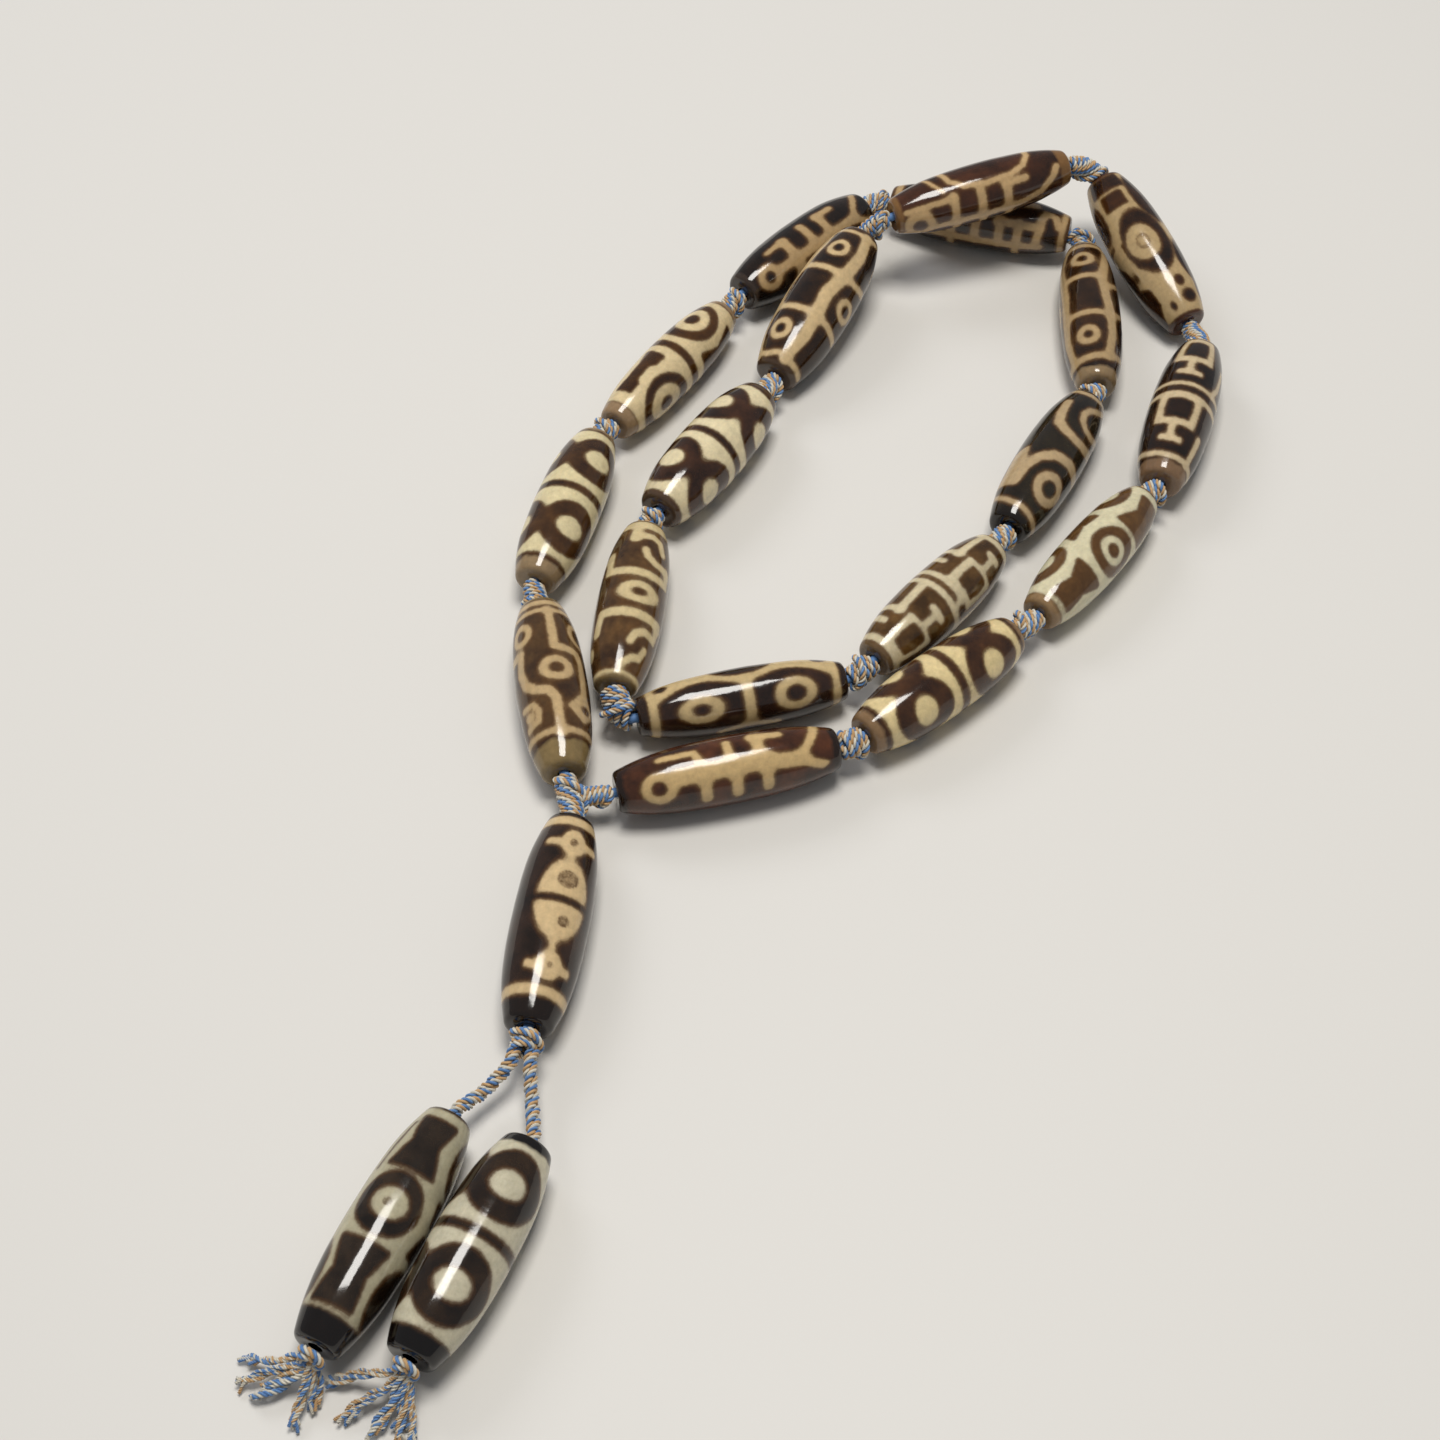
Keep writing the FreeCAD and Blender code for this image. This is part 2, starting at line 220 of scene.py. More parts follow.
class Lay:
    """Where a turned bead lies, read from its solid: centre, axis away from a point, and sizes."""

    def __init__(self, node, away_from):
        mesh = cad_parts[node].data
        mesh.calc_loop_triangles()
        points = np.zeros(len(mesh.vertices) * 3)
        mesh.vertices.foreach_get("co", points)
        points = points.reshape(-1, 3)
        corners = np.zeros(len(mesh.loop_triangles) * 3, int)
        mesh.loop_triangles.foreach_get("vertices", corners)
        a, b, c = (points[corners.reshape(-1, 3)[:, i]] for i in range(3))
        area = np.linalg.norm(np.cross(b - a, c - a), axis=1)
        middles = (a + b + c) / 3
        centre = (middles * area[:, None]).sum(0) / area.sum()
        spread = (middles - centre).T @ ((middles - centre) * area[:, None])
        axis = np.linalg.eigh(spread)[1][:, 2]
        if axis @ (centre - np.array(away_from)) < 0:
            axis = -axis
        along = (points - centre) @ axis
        self.length = along.max() - along.min()
        self.diameter = 2 * np.linalg.norm(points - centre - along[:, None] * axis, axis=1).max()
        self.centre = Vector(centre + axis * (along.max() + along.min()) / 2)
        self.axis = Vector(axis)
        self.side = Vector((0, 0, 1)).cross(self.axis).normalized()
        self.up = self.axis.cross(self.side)
        self.start = self.centre - self.axis * (self.length / 2)
        self.end = self.centre + self.axis * (self.length / 2)


class Figure:
    """The pale figure on a bead, drawn with lines, rings, discs and panels as the maker draws it.

    Places are millimetres along the bead from its middle and degrees round it from the top. The
    half of the bead that shows is drawn, and the far half mirrors it. Kept for each point of the
    mesh is its distance in millimetres to the figure's edge, negative inside the pale lines.
    """

    FAR = 3.0
    CORNER = 0.8
    PANEL_GROWTH = 0.8
    WASH_EDGE = 0.7
    WASH_FLOOR = -1.0
    WASH_RISE = 1.05

    def __init__(self, points, diameter, upper_edge):
        self.rounding = 1.4
        self.x = points[:, 0]
        turn = np.degrees(np.arctan2(points[:, 1], points[:, 2]))
        folded = np.abs((upper_edge - turn) % 360.0)
        folded = np.minimum(folded, 360.0 - folded)
        self.scale = math.pi * diameter / 360
        self.y = (upper_edge - folded) * self.scale
        self.distance = np.full(len(points), self.FAR)

    def blend(self, shape, dark):
        """Adds a shape to the pale, or cuts it out when dark, with a rounded inner corner."""
        k = self.rounding
        if dark:
            h = np.clip(0.5 - 0.5 * (self.distance + shape) / k, 0, 1)
            self.distance = self.distance * (1 - h) - shape * h + k * h * (1 - h)
        else:
            h = np.clip(0.5 + 0.5 * (shape - self.distance) / k, 0, 1)
            self.distance = shape * (1 - h) + self.distance * h - k * h * (1 - h)

    def ground(self, start, end):
        """A stretch of the bead that is pale all the way round."""
        self.blend(np.maximum(start - self.x, self.x - end), False)

    def band(self, x, width, dark=False):
        self.blend(np.abs(self.x - x) - width / 2, dark)

    def line(self, width, *points, dark=False):
        nearest = np.full(len(self.x), 1e3)
        for (x0, turn0), (x1, turn1) in zip(points, points[1:]):
            y0 = turn0 * self.scale
            dx, dy = x1 - x0, turn1 * self.scale - y0
            along = ((self.x - x0) * dx + (self.y - y0) * dy) / (dx * dx + dy * dy)
            along = np.clip(along, 0, 1)
            nearest = np.minimum(nearest, np.hypot(self.x - x0 - along * dx, self.y - y0 - along * dy))
        self.blend(nearest - width / 2, dark)

    def oval(self, x, turn, long, round_):
        reach = np.hypot((self.x - x) / long, (self.y - turn * self.scale) / round_)
        return (reach - 1) * min(long, round_)

    def disc(self, x, turn, long, round_, dark=False):
        self.blend(self.oval(x, turn, long, round_), dark)

    def ring(self, x, turn, long, round_, width):
        self.blend(np.abs(self.oval(x, turn, long, round_)) - width / 2, False)

    def wash(self, x, turn, long, round_):
        """A patch in the pale that took a little of the stain."""
        inside = np.clip(-self.oval(x, turn, long, round_) / self.WASH_EDGE, 0, 1)
        self.distance = np.maximum(self.distance, self.WASH_FLOOR + self.WASH_RISE * inside)

    def panel(self, *points, dark=False):
        px = np.array([p[0] for p in points])
        py = np.array([p[1] for p in points]) * self.scale
        reach = np.hypot(px - px.mean(), py - py.mean())
        px, py = (p - (p - p.mean()) * self.CORNER / reach for p in (px, py))
        nearest = np.full(len(self.x), 1e3)
        inside = np.zeros(len(self.x), bool)
        for i in range(len(points)):
            x0, y0, x1, y1 = px[i - 1], py[i - 1], px[i], py[i]
            dx, dy = x1 - x0, y1 - y0
            along = np.clip(((self.x - x0) * dx + (self.y - y0) * dy) / (dx * dx + dy * dy), 0, 1)
            nearest = np.minimum(nearest, np.hypot(self.x - x0 - along * dx, self.y - y0 - along * dy))
            if dy:
                crosses = (y0 > self.y) != (y1 > self.y)
                inside ^= crosses & (self.x < x0 + dx * (self.y - y0) / dy)
        self.blend(np.where(inside, -nearest, nearest) - self.CORNER * self.PANEL_GROWTH, dark)


def forked_comb(f):
    """An eye at one end of a long toothed band that ends in a fork."""
    f.ring(-13, -47, 2.25, 2.45, 1.7)
    f.line(3.3, (-9.5, -33), (6.5, -33))
    f.line(2.1, (6.5, -37), (12.5, -38))
    for x in (-5.0, 0.5, 6.0):
        f.line(2.0, (x, -35), (x, -80))
    f.line(1.4, (-12, 10), (-6, 6), (-5.2, -15))
    f.line(1.5, (0, -15), (0, 13))
    f.line(2.1, (5.3, -15), (5.3, 12))
    f.line(1.6, (4.4, 17), (9.3, 14))
    f.line(1.6, (12.5, -36), (14.3, -15), (15.6, 10), (16.4, 50))
    f.line(2.0, (9, -42), (13, -47), (16.3, -66))


def facing_crescents(f, start, stripe, end, left, right, waist_left, waist_right, reach=6.1):
    """Crescents that face each other across a stripe, with an oval dot in each dark lobe."""
    f.ground(start, end)
    f.band(stripe, 1.9, dark=True)
    for x, waist in ((left, waist_left), (right, waist_right)):
        f.line(4.4, (x, waist - 100), (x, waist + 100), dark=True)
        for turn in (waist - 54, waist + 54):
            f.disc(x, turn, reach, reach + 0.8, dark=True)
        for turn in (waist - 54, waist + 54):
            f.disc(x, turn, 2.3, 3.1)


def crescents_02(f):
    facing_crescents(f, -15.8, 0.7, 16.3, -8.1, 8.8, -2, -1)


def crescents_08(f):
    facing_crescents(f, -16.2, 0.9, 17.6, -8.4, 9.9, 27, 28)


def crescents_17(f):
    facing_crescents(f, -17.8, -0.7, 16.3, -9.7, 8.8, -16, -16)


def crescents_right_drop(f):
    facing_crescents(f, -16.9, -0.5, 15.6, -9.2, 8.2, -36, -36, reach=6.3)


def zigzag_and_hooks(f):
    """Pale ground along the bead, with panels and an eye below and hooked eyes above."""
    f.ground(-17.4, 18.0)
    f.panel((-16.4, -4), (-11.5, -17), (-6.9, -4), (-6.9, -78), (-11.5, -66), (-16.4, -76), dark=True)
    f.disc(0.1, -46, 5.2, 5.3, dark=True)
    f.ring(0.0, -45, 2.1, 2.3, 1.4)
    f.panel((6.2, -8), (11.2, -25), (16.3, -14), (16.5, -90), (6.4, -90), dark=True)
    f.disc(-10.3, 54, 5.2, 4.6, dark=True)
    f.disc(-10.0, 60, 2.5, 2.7)
    f.panel((-3.6, 28), (0, 33), (1.2, 39), (2.6, 30), (5.4, 26), (5.4, 66), (-2.0, 66), dark=True)
    f.disc(12.2, 50, 5.3, 4.9, dark=True)
    f.disc(12.2, 56, 2.6, 2.8)


def frames_and_bars(f):
    """Two framed squares, each with a small H bar, between rings and a double band."""
    f.rounding = 0.9
    f.line(1.2, (-15.4, 85), (-16.6, 45), (-17, 0), (-16.8, -50), (-17.4, -95))
    for x in (-4.6, 14.8):
        f.panel((x - 4.6, 42), (x + 4.4, 42), (x + 4.4, -34), (x - 4.6, -34))
        f.panel((x - 2.9, 27), (x + 2.7, 27), (x + 2.7, -20), (x - 2.9, -20), dark=True)
        f.disc(x - 0.1, 3, 2.8, 2.7, dark=True)
        f.line(1.4, (x - 8.2, 22), (x - 8.4, -14))
        f.line(1.5, (x - 8, 6), (x - 4, 6))
    f.band(-0.7, 1.4)
    f.band(2.7, 1.1)
    f.line(1.6, (-17, -52), (-10, -53))
    f.line(1.2, (3, -48), (6, -60), (12, -66))


def net_of_cells(f):
    """A pale net with rounded dark cells: one big eye, two bars and small spots."""
    f.rounding = 0.8
    f.ground(-19.2, 19.0)
    f.panel((-20, 125), (-20, 92), (-18, 80), (-15.5, 61), (-11.6, 59), (-10.2, 72), (-9, 86), (-6, 81),
            (-3, 92), (-1, 108), (-1, 125), dark=True)
    f.line(0.9, (-5.6, 52), (-2, 58), (1, 60), dark=True)
    f.disc(-7, 72, 1.3, 0.6, dark=True)
    f.disc(-0.8, 16, 8.7, 5.2, dark=True)
    f.disc(-0.9, 24, 4.4, 3.5)
    f.wash(-0.9, 23, 2.7, 2.2)
    f.disc(-0.9, 23, 1.1, 0.8)
    f.panel((9.4, 58), (13.6, 58), (13.6, 7), (9.4, 7), dark=True)
    f.panel((14.8, 76), (18.6, 76), (18.6, -12), (14.8, -12), dark=True)
    f.disc(8.5, 86, 5.2, 2.3, dark=True)
    f.line(1.0, (2.2, 84), (1.8, 116), dark=True)
    f.disc(10.5, -36, 7.6, 3.9, dark=True)
    f.disc(-7, -48, 5.4, 3.2, dark=True)
    f.disc(-17, 37, 1.1, 0.9, dark=True)
    f.disc(-12.3, -2, 1.4, 1.3, dark=True)
    f.disc(-16, -12, 1.6, 2.3, dark=True)
    f.disc(-13.6, -54, 3.0, 1.6, dark=True)


def comb_with_arch(f):
    """A comb of square cells over a wide arch, with a drop-shaped spot at the end."""
    f.rounding = 1.0
    f.line(1.7, (-16.3, 40), (-15, 62), (-12, 88), (-8, 98), (0, 102), (9, 103), (14, 108), (18, 125))
    for x in (-4.2, 1.7, 7.8):
        f.line(1.9, (x, 100), (x, 44))
        f.line(1.7, (x - 0.4, 105), (x - 0.6, 140))
    f.line(1.6, (-8.6, 46), (-4, 47))
    f.line(1.6, (7.8, 49), (13, 50), (18, 50))
    f.disc(15.4, 92, 3.4, 4.2)
    f.disc(15.5, 97, 1.6, 2.0, dark=True)
    f.panel((9, 58), (13, 58), (12, 88), (9, 88), dark=True)
    f.line(1.3, (-11.2, -40), (-10.8, -8), (-9, 18), (-6, 31), (0, 35), (5, 28), (7.6, 8), (8.4, -40))
    f.line(0.9, (9.6, 27), (11, 5), (12, -30))


def wave_and_eyes(f):
    """A broad wave along the bead that joins rings and uprights, with ringed eyes in its bays."""
    f.line(1.1, (-19.2, 92), (-18.2, 55), (-17.7, 20), (-17.6, -60))
    f.line(1.2, (18.9, 92), (18.3, 45), (17.5, 0), (18.2, -30), (17.8, -70))
    f.line(2.9, (-17.6, 36), (-12, 41), (-6, 34), (0.5, 22), (6.5, 26), (12, 29), (18, 20))
    f.line(2.0, (-17.6, -52), (-12, -43), (-5.5, -52), (0, -62), (6.5, -55), (12, -64), (18, -60))
    f.line(1.5, (-6.4, 92), (-5.4, 60), (-5.1, 30), (-5.4, -50))
    f.line(1.5, (7.5, 92), (7, 60), (6.6, 30), (6.4, -50))
    f.ring(-11.5, -5, 1.95, 2.0, 1.3)
    f.ring(12.3, -20, 1.95, 2.1, 1.4)
    f.ring(0.8, 70, 2.0, 2.1, 1.4)
    f.ring(-12.5, 112, 1.9, 2.0, 1.3)


def hooks_and_oval(f):
    """Curling hooks between uprights, with a standing oval in the middle panel."""
    f.band(-17.5, 2.4)
    f.line(2.3, (-16.5, -8), (-13.1, -8))
    f.line(1.7, (-13.7, -6), (-14.2, 28), (-13.4, 44), (-10.9, 52))
    f.line(1.7, (-10.1, 16), (-8.4, 22), (-7.3, 38), (-7.1, 66))
    f.line(1.9, (-7, 70), (-4, 69), (-3.8, 40), (-4, -20), (-4.4, -46), (-8.6, -51))
    f.line(1.9, (-8.6, -52), (-7.6, -90))
    f.ring(0.9, 18, 1.75, 3.0, 1.6)
    f.line(2.1, (6.1, 72), (6.1, -45), (10.3, -52))
    f.line(1.7, (6.5, 71), (9.6, 68), (9.3, 42), (10.4, 26), (12.2, 19))
    f.line(1.6, (13, 53), (14.9, 47), (15.5, 30), (17.2, 10))
    f.band(18.9, 1.1)
    f.disc(14, -72, 1.5, 1.4)


def wave_with_lobes(f):
    """A wave along the upper side with dark lobes above, and two lying eyes with a bar between."""
    f.band(-16.5, 1.6)
    f.band(16.9, 1.6)
    f.panel((-16.5, 60), (-16.5, -8), (-13, 2), (-8, 13), (-4, 4), (0, -8), (4, 2), (8, 12), (12, 4),
            (16.8, -8), (16.8, 60))
    f.disc(0.3, 44, 5.8, 3.3, dark=True)
    f.disc(-14.5, 24, 1.3, 1.2, dark=True)
    f.disc(14.6, 38, 1.3, 1.4, dark=True)
    f.disc(-8, -36, 6.6, 4.6, dark=True)
    f.disc(8.9, -36, 6.6, 4.6, dark=True)
    f.ring(-8.1, -47, 2.95, 1.9, 1.5)
    f.ring(9.2, -46, 2.95, 2.5, 1.6)
    f.line(1.9, (0.6, -5), (0.6, -84))
    f.line(1.3, (-5, -106), (0.2, -92), (5.5, -104))


def frame_pairs(f):
    """The same figure twice: a frame round an oval cell, a bar that ends in a T, and a small comb."""
    f.rounding = 0.9
    f.line(1.4, (-16.6, 62), (-16.7, -10), (-17, -100))
    for x, half in ((-12.6, 3.4), (5.7, 3.3)):
        f.panel((x - 4, -7), (x + 3.6, -7), (x + 3.6, -80), (x - 4, -80))
        near, far = x - half + 0.7, x + half - 0.8
        f.panel((near, -24), (far, -24), (far, -68), (near, -68), dark=True)
        f.disc(x, -46, half - 0.8, 2.4, dark=True)
        f.line(1.4, (x + 4, -43), (x + 7, -43))
        f.line(1.5, (x + 7.6, -30), (x + 7.6, -57))
        f.line(1.9, (x + 3, 13), (x + 10.5, 15))
        f.line(1.5, (x - 0.2, 24), (x + 0.4, 62))
        f.line(1.5, (x + 3.2, 10), (x + 3, 62))
    f.line(1.4, (-1.3, 62), (-1.3, -100))
    f.line(1.4, (1.3, 62), (1.4, -55))
    f.line(1.1, (2.4, -48), (-1, -60))
    f.line(1.5, (16.8, 55), (16.9, -100))
    f.line(1.2, (-4, -112), (-2, -95), (10, -108))


def loops_and_arcs(f):
    """A tear-shaped loop and an oval ring, each under a large arc."""
    f.line(1.1, (-15.2, 72), (-16.3, 45), (-17, 15), (-17.3, -20), (-17.8, -60), (-18, -100))
    f.ring(-10.4, -44, 2.95, 2.9, 1.9)
    f.line(2.3, (-11.6, 74), (-11.9, 26), (-8, 19), (-5, 6), (-2.9, -18), (-2.1, -48), (-2.7, -100))
    f.panel((-12.6, 62), (-12.6, 24), (-6.5, 22), (-1.8, 38), (-3.2, 62))
    f.line(2.1, (13.2, 20), (9, 16), (6, 8), (4.4, -10), (3.7, -35), (4.1, -60), (5.6, -95))
    f.line(1.5, (9.6, -90), (7.8, -62), (7.9, -42), (9.4, -28), (11.4, -24), (13.5, -32), (15.2, -52),
           (17.2, -80))
    f.line(1.3, (18.5, 40), (18, 5), (18.4, -40), (19.2, -75))


def panels_and_eyes(f):
    """Two waves with uprights between them make three panels, the outer two with an eye."""
    f.line(1.5, (-17.2, 100), (-17, 20), (-16.4, -30), (-15, -80))
    f.line(2.4, (-16.4, 66), (-10.5, 69), (-4.5, 64), (2, 60), (7, 66), (13, 73), (19, 62))
    f.line(2.3, (-16, -27), (-10.5, -34), (-4, -31), (1.5, -24), (6.5, -20), (10, -28), (15, -40),
           (19.5, -54))
    f.line(1.5, (-4.8, 62), (-4.8, -28))
    f.line(1.5, (7, 64), (7, -20))
    f.ring(-11.2, 18, 1.85, 1.95, 1.5)
    f.ring(13.1, 17, 1.85, 2.2, 1.4)
    f.band(18.6, 1.6)
    f.line(1.3, (-5, -34), (-2, -75))
    f.line(1.3, (4, -26), (7.5, -75))
    f.disc(0.5, 95, 3.2, 1.6)


def comb_of_squares(f):
    """A comb of square cells beside an end ring."""
    f.rounding = 0.6
    f.band(-18.6, 1.4)
    f.line(1.8, (-17.8, 40), (-16.6, 12), (-14.6, 10), (-13.8, 30), (-13.3, 96))
    f.line(1.9, (-14, 98), (0, 99), (14, 99))
    for x in (-9.2, -5.2, 0.0, 5.2, 10.4):
        f.line(1.9, (x, 99), (x, 48))
    f.line(1.9, (-13.6, 50), (-4.5, 50))
    f.line(1.5, (-9, 104), (-9, 140))
    f.line(1.5, (5.2, 104), (5.2, 140))
    f.line(1.6, (10.4, 50), (15.4, 46))
    f.line(2.0, (-12, -5), (-3, 12), (6, 4), (14, -14))
    f.band(18.2, 1.5)


def eye_and_branches(f):
    """A long band that ends in an eye, with teeth below and a branch and a small lens above."""
    f.line(2.1, (-12.4, 45), (11, 44))
    f.line(1.6, (-12.2, 43), (-13.6, 25), (-15.4, 8), (-16.8, -12))
    f.line(1.4, (-12.4, 47), (-14.6, 62), (-17.6, 78))
    f.ring(-4.2, 71, 2.7, 1.2, 1.0)
    f.line(2.0, (-4.2, 40), (-4.2, -1))
    f.line(1.6, (-8.6, -4), (-4.2, -3))
    f.line(1.9, (0.8, 40), (0.7, -5))
    f.line(2.2, (6.8, 75), (6.8, 0))
    f.line(1.3, (6.6, -2), (11.4, -2))
    f.ring(14.5, 46, 2.0, 2.6, 1.5)
    f.line(1.5, (6, 70), (2.5, 72), (-1, 92), (-4, 125))
    f.line(1.6, (7.4, 78), (10, 94), (11.6, 125))


def eyes_and_bone(f):
    """Large ringed eyes on either side of a double band, over a bone-shaped cell."""
    f.ground(-18.2, 17.7)
    f.band(-0.6, 2.1, dark=True)
    f.disc(-9.8, -12, 6.4, 6.4, dark=True)
    f.ring(-10, -11, 2.9, 2.8, 2.1)
    f.panel((-15.9, 130), (-15.6, 62), (-12.8, 71), (-10, 75), (-7, 72), (-3.8, 60), (-3.6, 130), dark=True)
    f.disc(9.2, 88, 6.7, 6.7, dark=True)
    f.ring(9.4, 84, 3.1, 2.8, 2.3)
    f.panel((2.2, -38), (2.5, 6), (5.0, 6), (6, -6), (12, -6), (13.0, 5), (15.2, 4), (15.2, -36),
            (12, -28), (6, -28), dark=True)


def meander(f):
    """A stepped meander with eyes in its bays, between double rings."""
    f.band(-17.3, 1.5)
    f.band(-14.8, 1.2)
    f.line(1.8, (-14.6, 12), (-5, 12), (-4.6, 35), (-4.1, 53), (-1.8, 58), (6.5, 56))
    f.ring(-9.2, 66, 2.4, 2.3, 1.2)
    f.ring(0.2, 10, 2.05, 2.35, 1.6)
    f.line(1.9, (14, 5), (7, 3), (5.2, -8), (4.3, -30), (2.5, -46), (-1, -54), (-5.2, -49), (-5.8, -95))
    f.ring(-9.6, -45, 2.0, 1.9, 1.5)
    f.line(1.3, (7, -62), (7.2, -38), (9, -29), (11, -33), (11.6, -60))
    f.disc(9.4, -50, 1.1, 1.2)
    f.ring(8.7, 55, 1.7, 1.9, 1.1)
    f.line(1.2, (6.6, 50), (8.8, 28), (11, 50))
    f.band(13.8, 1.2)


def mirrored_domes(f):
    """Two domes back to back across a dark line, with a small spiked diamond beyond each."""
    f.rounding = 0.9
    f.band(-17.9, 2.1)
    f.band(16, 1.7)
    for x, half, spike in ((-12.8, 2.9, 62), (11.7, 2.5, 55)):
        f.disc(x, 21, half, 2.5)
        f.line(1.5, (x + 0.4, 21), (x + 0.1, spike))
        f.line(1.5, (x + 0.4, 21), (x + 0.1, 42 - spike))
    f.line(1.2, (-11, 20), (9.6, 19))
    f.disc(-1.0, 20, 8.0, 4.7)
    f.band(-0.9, 1.6, dark=True)
    f.wash(-12.8, 21, 1.5, 1.5)
    f.wash(-5.0, 23, 2.4, 2.6)
    f.wash(3.2, 28, 1.8, 1.7)
    f.wash(11.6, 22, 1.2, 1.2)


def eye_and_windows(f):
    """A pale net that holds a large eye between two windows, with lobes beyond."""
    f.rounding = 1.0
    f.ground(-19.6, 16.2)
    f.panel((-18.0, 46), (-13, 33), (-7.6, 46), (-7.6, -33), (-13, -22), (-18.0, -33), dark=True)
    f.disc(-1.8, 5, 5.6, 5.6, dark=True)
    f.disc(-1.8, 6, 2.5, 2.9)
    f.wash(-1.8, 2, 1.3, 1.4)
    f.panel((4.5, 44), (10, 36), (15.4, 44), (15.6, -38), (10, -25), (4.5, -37), dark=True)
    f.disc(-12.5, 98, 5.2, 4.1, dark=True)
    f.disc(-12.3, 101, 3.0, 2.7)
    f.panel((-6.4, 72), (-2.8, 80), (-2.6, 130), (-6.6, 130), dark=True)
    f.panel((-1.0, 78), (3.4, 66), (3.6, 130), (-1.2, 130), dark=True)
    f.disc(10.6, 86, 5.5, 3.8, dark=True)
    f.disc(10.5, -66, 5.0, 3.2, dark=True)
    f.line(0.7, (-16, -40), (-12, -43), (-7, -50), dark=True)


# node, piece before it on the string, figure, angle where the far half's mirror image begins,
# field, field where it is lighter, lines, end caps, where the caps begin
BEADS = [
    ("bead_01", "junction_knot", forked_comb, 52, "#2a160c", "#5a321c", "#c9ab78", "#23160f", -18.6, 18.4),
    ("bead_02", "bead_01", crescents_02, 52, "#2b170b", "#4d2f18", "#dcc794", "#85694a", -16.9, 17.2),
    ("bead_03", "bead_02", zigzag_and_hooks, 66, "#4b3117", "#6a4a25", "#d3caa8", "#8f7350", -17.5, 18.4),
    ("bead_04", "bead_03", frames_and_bars, 85, "#150c07", "#2c1a0f", "#cbb691", "#7d6248", -18.0, 19.6),
    ("bead_05", "bead_04", net_of_cells, 118, "#1c1009", "#40240f", "#b59b70", "#4b2a18", -19.3, 19.0),
    ("bead_06", "bead_05", comb_with_arch, 137, "#2b180e", "#4a2918", "#c2a274", "#7a5832", -17.0, 18.7),
    ("bead_07", "bead_06", wave_and_eyes, 115, "#1b100a", "#35210f", "#cdb285", "#4d3a2a", -19.0, 19.2),
    ("bead_08", "bead_07", crescents_08, 112, "#25150c", "#44291a", "#e0d1aa", "#54402f", -17.0, 18.0),
    ("bead_09", "bead_08", hooks_and_oval, 97, "#382412", "#684a28", "#cfbb8e", "#85704c", -18.8, 19.2),
    ("bead_10", "bead_09", wave_with_lobes, 50, "#1d110a", "#39241a", "#c6ad7e", "#2a1b12", -17.6, 17.8),
    ("bead_11", "bead_10", frame_pairs, 62, "#3c270f", "#6a4c26", "#d0c19e", "#7a6244", -17.7, 17.8),
    ("bead_12", "bead_11", loops_and_arcs, 73, "#18110a", "#2c2416", "#b59c76", "#1a130d", -18.8, 19.0),
    ("bead_13", "bead_12", panels_and_eyes, 100, "#1f1209", "#3a2412", "#b0956c", "#8d7656", -19.0, 19.6),
    ("bead_14", "bead_13", comb_of_squares, 137, "#1b110a", "#382316", "#b4966a", "#5c4027", -19.4, 19.2),
    ("bead_15", "bead_14", eye_and_branches, 127, "#120b06", "#261810", "#b2956a", "#3a2e26", -18.4, 18.2),
    ("bead_16", "bead_15", eyes_and_bone, 120, "#2f1a0a", "#50310f", "#d6c196", "#93795a", -18.4, 17.8),
    ("bead_17", "bead_16", crescents_17, 110, "#2b190d", "#4f3318", "#d9ca9f", "#917a5a", -18.4, 17.4),
    ("bead_18", "bead_17", meander, 87, "#382414", "#5a4022", "#bfa377", "#857049", -18.4, 15.6),
    ("pendant_bead", "junction_knot", mirrored_domes, 97,
     "#1b110a", "#38251a", "#cfb487", "#1c120c", -19.2, 17.4),
    ("drop_bead_left", "pendant_knot", eye_and_windows, 105,
     "#150e08", "#33261a", "#b0a88c", "#100906", -19.8, 16.4),
    ("drop_bead_right", "pendant_knot", crescents_right_drop, 105,
     "#180f09", "#352516", "#c4bca2", "#0c0705", -16.6, 15.9),
]


def ramp_stops(ramp, stops):
    """Sets a colour ramp's stops, given as pairs of place and colour."""
    elements = ramp.color_ramp.elements
    while len(elements) < len(stops):
        elements.new(0.5)
    for element, (place, code) in zip(elements, stops):
        element.position = place
        element.color = colour(code)


